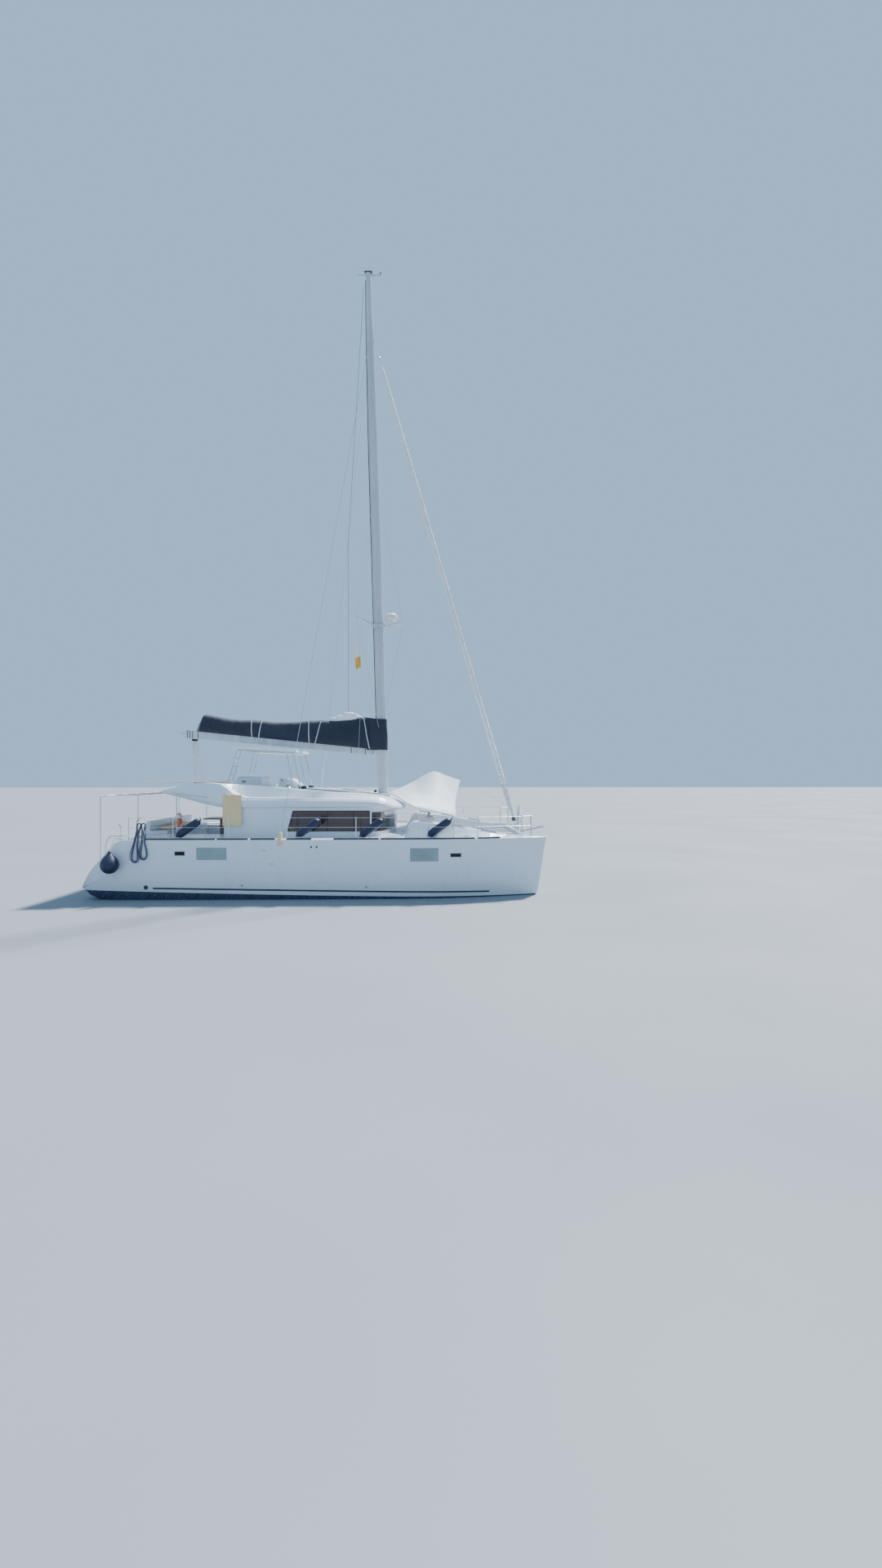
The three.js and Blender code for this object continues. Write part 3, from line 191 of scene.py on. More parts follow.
def edited(o, *steps):
    """Runs edit-mode operators on the whole mesh."""
    pick(o)
    bpy.ops.object.mode_set(mode="EDIT")
    bpy.ops.mesh.select_all(action="SELECT")
    for operator, settings in steps:
        getattr(bpy.ops.mesh, operator)(**settings)
    bpy.ops.object.mode_set(mode="OBJECT")
    return o


def cleaned(o, threshold=1e-4):
    """Merges doubled points and turns every face outward."""
    return edited(o, ("remove_doubles", {"threshold": threshold}),
                  ("normals_make_consistent", {"inside": False}))


def closed_up(o, threshold):
    """Cleaned, with its open ends filled."""
    return edited(o, ("remove_doubles", {"threshold": threshold}), ("fill_holes", {"sides": 0}),
                  ("normals_make_consistent", {"inside": False}))


def bevelled(o, width, segments=2):
    return smooth(shaped_by(o, "BEVEL", width=width, segments=segments, limit_method="ANGLE"))


def block(name, low, high, bevel, segments=2):
    low, high = Vector(low), Vector(high)
    bpy.ops.mesh.primitive_cube_add(size=1, location=(low + high) / 2)
    o = fresh(name)
    o.scale = high - low
    return bevelled(settle(o), bevel, segments)


def rod(name, start, end, radius, end_radius=None, sides=14):
    a, b = Vector(start), Vector(end)
    way = b - a
    bpy.ops.mesh.primitive_cone_add(
        vertices=sides, radius1=radius, radius2=radius if end_radius is None else end_radius,
        depth=way.length, location=(a + b) / 2, rotation=way.to_track_quat("Z", "Y").to_euler())
    return smooth(settle(fresh(name)))


def path_of(name, points, closed=False):
    bpy.ops.curve.primitive_nurbs_path_add(location=(0, 0, 0))
    o = fresh(name)
    o.data.splines.clear()
    spline = o.data.splines.new("POLY")
    spline.points.add(len(points) - 1)
    for place, point in zip(spline.points, points):
        place.co = (*point, 1)
    spline.use_cyclic_u = closed
    o.data.dimensions = "3D"
    return o


def as_mesh(o, name):
    pick(o)
    bpy.ops.object.convert(target="MESH")
    return fresh(name)


def line(name, points, radius, closed=False, detail=2):
    """A round bar, wire or rope through the points, as a mesh."""
    o = path_of(name, points, closed)
    o.data.bevel_depth = radius
    o.data.bevel_resolution = detail
    o.data.use_fill_caps = not closed
    return smooth(as_mesh(o, name), 60)


def rounded(points, parts=6):
    """The same route through the points on a smooth curve."""
    points = [Vector(p) for p in points]
    route = []
    for i in range(len(points) - 1):
        p0 = points[max(i - 1, 0)]
        p1, p2 = points[i], points[i + 1]
        p3 = points[min(i + 2, len(points) - 1)]
        for k in range(parts):
            t = k / parts
            route.append(0.5 * (2 * p1 + (p2 - p0) * t + (2 * p0 - 5 * p1 + 4 * p2 - p3) * t * t
                                + (3 * p1 - p0 - 3 * p2 + p3) * t ** 3))
    route.append(points[-1])
    return route


def around(middle, first, second, count=8):
    """Points round middle, on the circle or ellipse of two half axes."""
    angles = [2 * math.pi * k / count for k in range(count)]
    return [middle + first * math.cos(a) + second * math.sin(a) for a in angles]


def level(middle, radius, angle, rise=0.0):
    """A point at an angle on a level circle, and a rise above it."""
    return middle + Vector((radius * math.cos(angle), radius * math.sin(angle), rise))


def spun(name, profile, origin, axis=(0, 0, 1), steps=28):
    """Turns a profile of (radius, height) round an axis through the origin."""
    origin, axis = Vector(origin), Vector(axis).normalized()
    across = axis.orthogonal().normalized()
    o = as_mesh(path_of(name, [origin + across * r + axis * h for r, h in profile]), name)
    edited(o, ("spin", {"steps": steps, "angle": 2 * math.pi, "center": origin, "axis": axis}),
           ("remove_doubles", {"threshold": 1e-5}), ("normals_make_consistent", {"inside": False}))
    return smooth(o)


def formed(name, columns, rows, place, wrap=False):
    """A grid whose points are moved to place(u, v), u and v from 0 to 1."""
    bpy.ops.mesh.primitive_grid_add(x_subdivisions=columns, y_subdivisions=rows, size=1,
                                    location=(0, 0, 0))
    o = fresh(name)
    for vertex in o.data.vertices:
        vertex.co = place(vertex.co.x + 0.5, vertex.co.y + 0.5)
    if wrap:
        cleaned(o, 1e-5)
    return smooth(o, 60)


def thin_sheet(name, columns, rows, place, thick, threshold=1e-4, degrees=70):
    """A formed grid with a thickness, such as cloth."""
    o = formed(name, columns, rows, place)
    shaped_by(o, "SOLIDIFY", thickness=thick, offset=0)
    return smooth(cleaned(o, threshold), degrees)


def bar(name, points, height, width):
    """A flat bar with rounded edges that stands upright along the points."""
    o = path_of(name, points)
    o.data.twist_mode = "Z_UP"
    o.data.extrude = (height - width) / 2
    o.data.bevel_depth = width / 2
    o.data.bevel_resolution = 2
    o.data.use_fill_caps = True
    return smooth(cleaned(as_mesh(o, name)))


def joined(name, parts):
    pick(*parts)
    if len(parts) > 1:
        bpy.ops.object.join()
    return fresh(name)


def painted(o, look):
    o.data.materials.clear()
    o.data.materials.append(finish(look))
    return o


def put(o, look, body="platform", stands_for=()):
    """Gives a finished piece its finish, the body it rides on and what it stands for."""
    painted(o, look)
    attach(o, body)
    if stands_for:
        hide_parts(*stands_for)
    return o


def put_between(o, look):
    """Gives a piece that reaches from the platform to the boom its finish, and bakes its place
    into its mesh.
    """
    painted(o, look)
    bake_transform(o)


TREES = {}


def tree_of(node):
    if node not in TREES:
        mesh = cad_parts[node].data
        TREES[node] = BVHTree.FromPolygons([v.co.copy() for v in mesh.vertices],
                                           [tuple(p.vertices) for p in mesh.polygons])
    return TREES[node]


def met(node, start, way):
    """Where a ray first meets a CAD node."""
    return tree_of(node).ray_cast(Vector(start), Vector(way))[0]


def hull_of(side):
    return "hull_starboard" if side < 0 else "hull_port"


def side_y(x, z, side):
    """Where the outer side of a hull is at x and z."""
    hit = met(hull_of(side), (x, side * BEYOND, z), (0, -side, 0))
    return hit.y if hit else side * (HULL_MIDDLE + HULL_HALF)


def inner_y(x, z, side):
    """Where the inner side of a hull is at x and z."""
    hit = met(hull_of(side), (x, 0, z), (0, side, 0))
    return hit.y if hit else side * 2.1


def top_z(x, y, node, ceiling=BEYOND):
    """Height of a node at x and y, under a ceiling."""
    hit = met(node, (x, y, ceiling), (0, 0, -1))
    return hit.z if hit else 0.0


def mast_x(z):
    return MAST_FOOT_X - MAST_RAKE * (z - MAST_STEP_TOP)


def mast_scale(z):
    """The mast's section at a height, as a share of its section at the foot."""
    return between(((3.02, 1.0), (9.7, 0.95), (15.5, 0.92), (19.0, 0.75), (21.0, 0.5)), z)[0]


def boom_under(x):
    return GOOSENECK[1] + BOOM_RISE * (GOOSENECK[0] - x)


def boom_top(x):
    share = (x - BOOM_ENDS[0]) / (BOOM_ENDS[1] - BOOM_ENDS[0])
    return boom_under(x) + BOOM_DEPTHS[0] + (BOOM_DEPTHS[1] - BOOM_DEPTHS[0]) * share


def stay_at(z):
    return Vector((STAY_FOOT[0] - STAY_SLOPE * (z - STAY_FOOT[1]), 0, z))


# Finishes

class Finish:
    """A shader whose colour, roughness and relief come from procedural nodes."""

    def __init__(self, name, **constants):
        self.material = bpy.data.materials.new(name)
        self.material.use_nodes = True
        self.tree = self.material.node_tree
        self.shader = self.tree.nodes["Principled BSDF"]
        for key, value in constants.items():
            self.shader.inputs[key.replace("_", " ")].default_value = value
        self.place = self.node("ShaderNodeTexCoord").outputs["Object"]
        self.relief = None

    def node(self, kind, settings=None, **inputs):
        made = self.tree.nodes.new(kind)
        for key, value in (settings or {}).items():
            setattr(made, key, value)
        for key, value in inputs.items():
            self.feed(made.inputs[key.replace("_", " ")], value)
        return made

    def feed(self, socket, value):
        if isinstance(value, bpy.types.NodeSocket):
            self.tree.links.new(value, socket)
        else:
            socket.default_value = value

    def stretched(self, scale, turn=(0, 0, 0)):
        return self.node("ShaderNodeMapping", Vector=self.place, Scale=scale,
                         Rotation=turn).outputs["Vector"]

    def noise(self, scale, detail=3.0, vector=None, roughness=0.5):
        return self.node("ShaderNodeTexNoise", Vector=vector or self.place, Scale=scale,
                         Detail=detail, Roughness=roughness).outputs["Fac"]

    def wave(self, scale, vector=None, distortion=0.0, direction="X", profile="SIN"):
        return self.node("ShaderNodeTexWave",
                         {"bands_direction": direction, "wave_profile": profile},
                         Vector=vector or self.place, Scale=scale,
                         Distortion=distortion).outputs["Fac"]

    def cells(self, scale):
        return self.node("ShaderNodeTexVoronoi", Vector=self.place,
                         Scale=scale).outputs["Distance"]

    def span(self, value, low, high, to_low=0.0, to_high=1.0):
        return self.node("ShaderNodeMapRange", Value=value, From_Min=low, From_Max=high,
                         To_Min=to_low, To_Max=to_high).outputs["Result"]

    def maths(self, operation, a, b=0.0):
        made = self.tree.nodes.new("ShaderNodeMath")
        made.operation = operation
        self.feed(made.inputs[0], a)
        self.feed(made.inputs[1], b)
        return made.outputs[0]

    def mix(self, share, a, b):
        made = self.tree.nodes.new("ShaderNodeMix")
        made.data_type = "RGBA"
        self.feed(made.inputs[0], share)
        for socket, value in ((made.inputs[6], a), (made.inputs[7], b)):
            self.feed(socket, value if isinstance(value, bpy.types.NodeSocket) else (*value, 1))
        return made.outputs[2]

    def axis(self, name, source=None):
        split = self.node("ShaderNodeSeparateXYZ", Vector=source or self.place)
        return split.outputs[name]

    def facing_up(self, low, high):
        normal = self.node("ShaderNodeNewGeometry").outputs["Normal"]
        return self.span(self.axis("Z", normal), low, high)

    def colour(self, socket):
        self.feed(self.shader.inputs["Base Color"], socket)
        return self

    def rough(self, share, low, high):
        self.feed(self.shader.inputs["Roughness"], self.span(share, 0.25, 0.75, low, high))
        return self

    def bump(self, height, distance, strength=1.0):
        made = self.node("ShaderNodeBump", Height=height, Distance=distance, Strength=strength)
        if self.relief:
            self.feed(made.inputs["Normal"], self.relief)
        self.relief = made.outputs["Normal"]
        self.feed(self.shader.inputs["Normal"], self.relief)
        return self


def tint(colour, factor):
    return tuple(min(1.0, c * factor) for c in colour)


MADE = {}


def finish(name):
    """The named finish, made on its first use."""
    if name not in MADE:
        MADE[name] = FINISHES[name](name)
    return MADE[name]


def gelcoat_base(f, white):
    """White gelcoat with faint chalking, run marks and panel waviness."""
    chalk = f.noise(0.9, 5)
    runs = f.noise(1.0, 4, f.stretched((5, 5, 0.35)))
    colour = f.mix(f.span(chalk, 0.3, 0.75, 0, 0.5), white, tint(white, 0.93))
    colour = f.mix(f.span(runs, 0.56, 0.8, 0, 0.16), colour, (0.50, 0.50, 0.46))
    f.rough(f.noise(14, 3), 0.20, 0.36)
    f.bump(f.noise(2.2, 2), 0.004, 0.35)
    f.bump(f.noise(90, 2), 0.0004, 0.25)
    return colour


def gelcoat(name):
    f = Finish(name, Coat_Weight=0.4, Coat_Roughness=0.12)
    return f.colour(gelcoat_base(f, tuple(colours().gelcoat))).material


def non_slip(f):
    """Where the surface faces up, the relief of its grip, and the grip's colour."""
    up = f.facing_up(0.93, 0.985)
    grain = f.cells(150)
    grip = tuple(colours().grip)
    return up, grain, f.mix(f.span(grain, 0.1, 0.6), tint(grip, 0.92), grip)


def antifoul(f, spots, most):
    """Weathered bottom paint: its growth, and its colour with spots of a scale and strength."""
    weed = f.noise(7, 7, roughness=0.65)
    paint = tuple(colours().antifoul)
    base = f.mix(f.span(weed, 0.35, 0.7), tint(paint, 0.75), tint(paint, 1.6))
    return weed, f.mix(f.span(f.noise(spots, 5), 0.6, 0.8, 0, most), base, (0.10, 0.13, 0.09))


def deck_gelcoat(name):
    """Gelcoat with moulded non-slip wherever it faces up."""
    f = Finish(name, Coat_Weight=0.25, Coat_Roughness=0.2)
    base = gelcoat_base(f, tuple(colours().gelcoat))
    up, grain, grip = non_slip(f)
    dirt = f.mix(f.span(f.noise(2.5, 6), 0.5, 0.8, 0, 0.3), grip, (0.42, 0.41, 0.38))
    f.colour(f.mix(up, base, dirt))
    return f.bump(f.maths("MULTIPLY", grain, up), 0.0025, 0.6).material


def hull_paint(name):
    """Topsides, non-slip decks, and bottom paint below a line that rises to the stern."""
    f = Finish(name, Coat_Weight=0.4, Coat_Roughness=0.1)
    base = gelcoat_base(f, tuple(colours().gelcoat))
    height = f.axis("Z")
    low = f.span(height, 0.15, 0.65, 0.30, 0)
    scum = f.maths("MULTIPLY", low, f.noise(3.5, 6, f.stretched((1, 1, 3))))
    base = f.mix(scum, base, (0.38, 0.37, 0.28))
    up, grain, grip = non_slip(f)
    base = f.mix(up, base, grip)
    rise = f.maths("POWER", f.span(f.axis("X"), -6.8, 6.8, 1, 0), 1.6)
    line_z = f.span(rise, 0, 1, 0.03, 0.30)
    under = f.span(f.maths("SUBTRACT", line_z, height), -0.003, 0.003)
    f.colour(f.mix(under, base, antifoul(f, 28, 0.5)[1]))
    return f.bump(f.maths("MULTIPLY", grain, up), 0.0025, 0.6).material


def bottom_paint(name):
    f = Finish(name, Roughness=0.8)
    weed, paint = antifoul(f, 40, 0.6)
    f.colour(paint)
    return f.rough(weed, 0.65, 0.9).bump(f.noise(60, 4), 0.003, 0.5).material


def mottled(name, first, second, tone, change, gloss, relief=None, **constants):
    """Two colours that mix along a noise, with uneven gloss and relief.

    tone: the noise. change: the part of it in which the colours change, or None.
    gloss: least and most roughness, and the noise it follows where that isn't tone.
    relief: depth, strength and noise.
    """
    f = Finish(name, **constants)
    share = f.noise(*tone)
    f.colour(f.mix(f.span(share, *change) if change else share, first, second))
    low, high, *grain = gloss
    f.rough(f.noise(*grain) if grain else share, low, high)
    if relief:
        depth, strength, *grain = relief
        f.bump(f.noise(*grain), depth, strength)
    return f.material


def smoked_glass(name):
    """Dark reddish-brown acrylic with faint dust and ripple."""
    return mottled(name, (0.030, 0.016, 0.017), (0.075, 0.040, 0.040), (1.6, 5), (0.3, 0.75),
                   (0.05, 0.14), (0.004, 0.25, 1.1, 1), IOR=1.49, Coat_Weight=0.6,
                   Coat_Roughness=0.03, Alpha=0.93)


def hull_glass(name):
    base = tuple(colours().hull_window)
    return mottled(name, tint(base, 0.85), tint(base, 1.25), (1.3, 5), (0.3, 0.7), (0.12, 0.25),
                   IOR=1.49, Coat_Weight=0.5, Coat_Roughness=0.05)


def port_glass(name):
    return mottled(name, (0.002, 0.003, 0.006), (0.010, 0.012, 0.018), (9, 4), None,
                   (0.12, 0.28), IOR=1.35)


def stainless(name):
    f = Finish(name, Metallic=1.0)
    haze = f.noise(30, 4)
    stain = f.span(f.noise(9, 6), 0.62, 0.8, 0, 0.5)
    f.colour(f.mix(stain, (0.66, 0.68, 0.70), (0.36, 0.27, 0.19)))
    return f.rough(haze, 0.14, 0.34).bump(f.noise(220, 2), 0.0003, 0.3).material


def spar(name):
    """Painted alloy section: light grey with chalking and fine run marks."""
    f = Finish(name, Metallic=0.25, Coat_Weight=0.15)
    chalk = f.noise(1.0, 5, f.stretched((6, 6, 0.5)))
    f.colour(f.mix(f.span(chalk, 0.3, 0.75), (0.62, 0.65, 0.69), (0.47, 0.49, 0.52)))
    return f.rough(f.noise(25, 3), 0.30, 0.48).bump(f.noise(160, 2), 0.0003, 0.3).material


def weave(f, count=420):
    """Relief of threads that cross, at about the real spacing."""
    warp = f.wave(count, direction="X")
    weft = f.wave(count, direction="Z")
    across = f.wave(count, direction="Y")
    return f.maths("ADD", f.maths("MULTIPLY", warp, weft), f.maths("MULTIPLY", across, weft))


def canvas(name):
    """Navy acrylic canvas, faded where the sun falls on it and dusty in its folds."""
    f = Finish(name, Sheen_Weight=0.25, Sheen_Roughness=0.5)
    navy = tuple(colours().canvas)
    fade = f.maths("MULTIPLY", f.facing_up(-0.2, 0.9), f.span(f.noise(1.4, 5), 0.3, 0.7))
    base = f.mix(f.noise(3.0, 5), tint(navy, 0.75), tint(navy, 1.35))
    base = f.mix(f.maths("MULTIPLY", fade, 0.5), base, (0.045, 0.052, 0.085))
    base = f.mix(f.span(f.noise(260, 2), 0.5, 0.8, 0, 0.25), base, (0.05, 0.055, 0.08))
    f.colour(base).rough(f.noise(30, 3), 0.72, 0.92)
    return f.bump(weave(f), 0.0006, 0.5).bump(f.noise(5, 4), 0.006, 0.35).material


def cloth(name):
    """White coated awning cloth, slightly see-through against the light, with painted shade that
    follows its crease relief.
    """
    f = Finish(name, Sheen_Weight=0.12, Subsurface_Weight=0.12, Subsurface_Scale=0.02)
    white = tuple(colours().cloth)
    crease = f.noise(1.3, 5)
    # Painted shade: the cloth is darkened where the crease noise is high, the same noise that
    # raises its crease relief
    base = f.mix(f.span(crease, 0.35, 0.75, 0, 0.7), white, tint(white, 0.90))
    base = f.mix(f.span(f.noise(6, 6), 0.62, 0.85, 0, 0.25), base, (0.46, 0.44, 0.38))
    f.colour(base).rough(f.noise(20, 2), 0.62, 0.82)
    return f.bump(weave(f), 0.0004, 0.4).bump(crease, 0.010, 0.3).material


def furled_cloth(name):
    """Rolled headsail: white cloth with greyed edges that spiral round the roll."""
    f = Finish(name, Sheen_Weight=0.1)
    uv = f.node("ShaderNodeTexCoord").outputs["UV"]
    along, around = f.axis("X", uv), f.axis("Y", uv)
    turn = f.maths("FRACT", f.maths("ADD", f.maths("MULTIPLY", along, ROLL_TURNS), around))
    edge = f.span(f.maths("ABSOLUTE", f.maths("SUBTRACT", turn, 0.5)), 0.0, 0.12, 1, 0)
    white = tuple(colours().cloth)
    base = f.mix(f.span(f.noise(4, 6), 0.4, 0.8), tint(white, 0.92), tint(white, 0.74))
    f.colour(f.mix(f.maths("MULTIPLY", edge, 0.22), base, (0.50, 0.51, 0.53)))
    f.rough(f.noise(20, 2), 0.6, 0.8)
    return f.bump(f.noise(14, 4), 0.006, 0.4).bump(weave(f), 0.0004, 0.3).material


def curtain_cloth(name):
    f = Finish(name, Sheen_Weight=0.2)
    tan = tuple(colours().curtain)
    fade = f.noise(2.2, 4)
    base = f.mix(fade, tint(tan, 0.85), tint(tan, 1.2))
    base = f.mix(f.span(f.wave(55, direction="Z", distortion=0.4), 0.6, 1.0, 0, 0.12), base,
                 tint(tan, 0.6))
    f.colour(base).rough(f.noise(30, 2), 0.75, 0.95)
    return f.bump(weave(f, 300), 0.0008, 0.5).material


def webbing(name):
    f = Finish(name, Sheen_Weight=0.15)
    ribs = f.wave(110, direction="DIAGONAL")
    f.colour(f.mix(ribs, (0.60, 0.62, 0.66), (0.42, 0.44, 0.48)))
    return f.rough(f.noise(40, 2), 0.6, 0.85).bump(ribs, 0.0012, 0.6).material


def braid(name, dark, light, scale=70):
    """Braided rope: two sets of slanting strands over a flecked core colour."""
    f = Finish(name, Sheen_Weight=0.1)
    one = f.wave(scale, f.stretched((1, 1, 1), (0.6, 0.5, 0.4)), direction="DIAGONAL")
    two = f.wave(scale, f.stretched((1, 1, 1), (-0.6, 0.5, -0.7)), direction="DIAGONAL")
    strands = f.maths("MAXIMUM", one, two)
    base = f.mix(f.span(strands, 0.3, 0.9), dark, light)
    f.colour(f.mix(f.span(f.noise(18, 5), 0.5, 0.8, 0, 0.35), base, tint(light, 0.6)))
    f.rough(f.noise(60, 2), 0.7, 0.92)
    return f.bump(strands, 0.0018, 0.7).material


def fender_vinyl(name):
    f = Finish(name, Coat_Weight=0.05, Coat_Roughness=0.4)
    navy = tuple(colours().fender)
    scuff = f.span(f.noise(22, 6, roughness=0.7), 0.6, 0.75, 0, 0.35)
    base = f.mix(f.noise(4, 4), tint(navy, 0.8), tint(navy, 1.6))
    f.colour(f.mix(scuff, base, (0.075, 0.085, 0.11)))
    return f.rough(f.noise(12, 4), 0.42, 0.64).bump(f.noise(70, 3), 0.0008, 0.35).material


def buoy_foam(name):
    f = Finish(name, Coat_Weight=0.1)
    orange = tuple(colours().buoy)
    base = f.mix(f.noise(6, 5), tint(orange, 0.8), orange)
    f.colour(f.mix(f.span(f.noise(30, 5), 0.62, 0.8, 0, 0.4), base, (0.9, 0.5, 0.36)))
    return f.rough(f.noise(20, 3), 0.45, 0.65).bump(f.noise(120, 3), 0.0008, 0.4).material


def reflective_tape(name):
    f = Finish(name, Coat_Weight=0.3)
    grid = f.cells(260)
    f.colour(f.mix(f.span(grid, 0.2, 0.6), (0.80, 0.81, 0.82), (0.62, 0.64, 0.66)))
    return f.rough(grid, 0.25, 0.45).bump(grid, 0.0005, 0.5).material


def board_wood(name):
    """Pale painted board, worn through to the grain along its edges."""
    f = Finish(name)
    grain = f.noise(5, 7, f.stretched((1.2, 22, 22)), 0.7)
    base = f.mix(f.span(grain, 0.3, 0.7), (0.62, 0.50, 0.46), (0.50, 0.39, 0.35))
    f.colour(f.mix(f.span(f.noise(2.4, 5), 0.5, 0.75, 0, 0.6), base, (0.68, 0.62, 0.58)))
    return f.rough(grain, 0.5, 0.75).bump(grain, 0.0010, 0.5).material


def teak(name):
    """Weathered slatted wood: silvered planks with dark caulked seams."""
    f = Finish(name)
    planks = f.wave(5.6, direction="Y", profile="SAW")
    grain = f.noise(5, 7, f.stretched((1.2, 22, 22)), 0.7)
    wood = f.mix(f.span(grain, 0.3, 0.7), (0.44, 0.33, 0.22), (0.22, 0.155, 0.10))
    wood = f.mix(f.span(f.noise(1.8, 4), 0.4, 0.7, 0, 0.5), wood, (0.42, 0.39, 0.34))
    seam = f.span(planks, 0.94, 0.97)
    f.colour(f.mix(seam, wood, (0.03, 0.03, 0.03))).rough(grain, 0.5, 0.75)
    return f.bump(grain, 0.0010, 0.5).bump(seam, -0.002, 0.7).material


def slate_trim(name):
    dark = tuple(colours().stripe)
    return mottled(name, tint(dark, 0.8), tint(dark, 1.6), (6, 5), None, (0.4, 0.6, 40, 3),
                   (0.0004, 0.3, 150, 2), Coat_Weight=0.1)


def rubber(name):
    return mottled(name, (0.008, 0.008, 0.009), (0.03, 0.03, 0.032), (15, 5), None,
                   (0.55, 0.8, 50, 3), (0.0004, 0.4, 200, 2))


def white_plastic(name):
    return mottled(name, (0.80, 0.81, 0.80), (0.66, 0.67, 0.65), (7, 5), (0.35, 0.75),
                   (0.35, 0.5, 60, 3), (0.0004, 0.3, 180, 2), Coat_Weight=0.1)


def drive_alloy(name):
    return mottled(name, (0.42, 0.44, 0.46), (0.22, 0.25, 0.26), (12, 6, None, 0.7), (0.4, 0.7),
                   (0.35, 0.6), (0.001, 0.4, 90, 3), Metallic=0.6)


def bronze(name):
    return mottled(name, (0.50, 0.31, 0.13), (0.16, 0.24, 0.17), (16, 6, None, 0.7), (0.45, 0.7),
                   (0.25, 0.6), (0.0006, 0.4, 120, 3), Metallic=1.0)


def engine_paint(name):
    return mottled(name, (0.13, 0.16, 0.18), (0.05, 0.055, 0.06), (8, 6), (0.45, 0.75),
                   (0.4, 0.7), (0.001, 0.5, 60, 4), Metallic=0.2)


def cushion_vinyl(name):
    """Off-white marine vinyl with a fine leather grain."""
    f = Finish(name, Sheen_Weight=0.05, Coat_Weight=0.1)
    grain = f.cells(420)
    f.colour(f.mix(f.span(f.noise(3, 4), 0.3, 0.7), (0.66, 0.65, 0.61), (0.52, 0.51, 0.48)))
    return f.rough(f.noise(30, 3), 0.42, 0.6).bump(grain, 0.0006, 0.5).material


def flag_cloth(name, colour):
    f = Finish(name, Subsurface_Weight=0.1, Subsurface_Scale=0.01)
    f.colour(f.mix(f.noise(9, 4), tint(colour, 0.85), tint(colour, 1.1)))
    return f.rough(f.noise(40, 2), 0.6, 0.85).bump(weave(f, 500), 0.0004, 0.4).material


def floor_paint(name):
    return mottled(name, (0.24, 0.265, 0.29), (0.22, 0.245, 0.27), (0.15, 4), (0.3, 0.7),
                   (0.7, 0.85), (0.002, 0.1, 3, 4))


FINISHES = {made.__name__: made for made in (
    gelcoat, deck_gelcoat, hull_paint, bottom_paint, smoked_glass, hull_glass, port_glass,
    stainless, spar, canvas, cloth, furled_cloth, curtain_cloth, webbing, fender_vinyl,
    buoy_foam, reflective_tape, teak, board_wood, slate_trim, rubber, white_plastic,
    drive_alloy, bronze, engine_paint, cushion_vinyl, floor_paint)}
FINISHES.update({
    "net_cord": lambda name: braid(name, (0.50, 0.52, 0.54), (0.72, 0.74, 0.75), 160),
    "hank_rope": lambda name: braid(name, (0.032, 0.042, 0.080), (0.105, 0.125, 0.205)),
    "tan_rope": lambda name: braid(name, (0.30, 0.21, 0.15), (0.58, 0.46, 0.36)),
    "white_rope": lambda name: braid(name, (0.44, 0.45, 0.46), (0.70, 0.71, 0.72)),
    "dark_rope": lambda name: braid(name, (0.022, 0.028, 0.05), (0.09, 0.105, 0.16)),
    "pennant_cloth": lambda name: flag_cloth(name, (0.78, 0.79, 0.80)),
    "flag_cloth": lambda name: flag_cloth(name, (0.80, 0.42, 0.05)),
})

# The CAD nodes that keep each finish. A star stands for both sides.
NODE_FINISHES = {
    "hull_paint": ("hull_*",),
    "deck_gelcoat": ("bridgedeck", "roof", "engine_hatch_*"),
    "gelcoat": ("deckhouse_side_*", "deckhouse_front", "aft_bulkhead", "helm_seat",
                "helm_console", "hardtop"),
    "smoked_glass": ("saloon_door", "side_glass_*", "front_glass"),
    "stainless": ("helm_wheel", "hardtop_frame", "gooseneck", "shroud_*", "guardrail_*",
                  "awning_frame_*", "roof_post_*"),
    "spar": ("mast", "spreaders", "boom", "crossbeam"),
    "bottom_paint": ("keel_*", "rudder_*"),
    "white_plastic": ("radar_dome",), "drive_alloy": ("saildrive_*",),
    "bronze": ("propeller_*",), "engine_paint": ("engine_*",), "board_wood": ("gangplank",),
    "teak": ("cockpit_table",),
}


class CATAMARAN_OT_stage(bpy.types.Operator):
    """Pale floor at the waterline, soft lights, and the camera at the photograph's place"""
    bl_idname = "catamaran.stage"
    bl_label = "Stage"

    def execute(self, context):
        bpy.ops.object.camera_add(location=(3.038, -24.561, 3.603),
                                  rotation=(math.pi / 2, 0, -0.0263))
        camera = context.object
        camera.name = "camera"
        camera.data.lens = 16.3125
        camera.data.sensor_width = 36
        camera.data.shift_y = -0.0051
        camera.data.clip_end = 500
        context.scene.camera = camera
        bpy.ops.mesh.primitive_grid_add(x_subdivisions=8, y_subdivisions=8, size=400,
                                        location=(0, 0, 0))
        floor = settle(fresh("floor"))
        painted(floor, "floor_paint")
        world = bpy.data.worlds.new("sky")
        context.scene.world = world
        world.use_nodes = True
        background = world.node_tree.nodes["Background"]
        background.inputs["Color"].default_value = (0.44, 0.69, 1.0, 1)
        background.inputs["Strength"].default_value = 0.92
        self.light("sun", "SUN", (20, 20, 30), (-28, 26), energy=10.5, angle=math.radians(6),
                   color=(0.98, 0.98, 1.0))
        self.light("fill", "AREA", (-4, -30, 22), (55, 0), energy=450, size=24,
                   color=(0.72, 0.86, 1.0))
        return {"FINISHED"}

    def light(self, name, kind, place, degrees, **settings):
        """A light of a kind, turned by degrees round X and Y."""
        bpy.ops.object.light_add(type=kind, location=place, rotation=(
            math.radians(degrees[0]), math.radians(degrees[1]), 0))
        made = bpy.context.object
        made.name = name
        for key, value in settings.items():
            setattr(made.data, key, value)


class CATAMARAN_OT_finishes(bpy.types.Operator):
    """Procedural finishes on the CAD nodes that stay in view"""
    bl_idname = "catamaran.finishes"
    bl_label = "Finishes"

    def execute(self, context):
        for look, nodes in NODE_FINISHES.items():
            for node in nodes:
                for word in ("starboard", "port") if "*" in node else ("",):
                    painted(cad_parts[node.replace("*", word)], look)
        return {"FINISHED"}


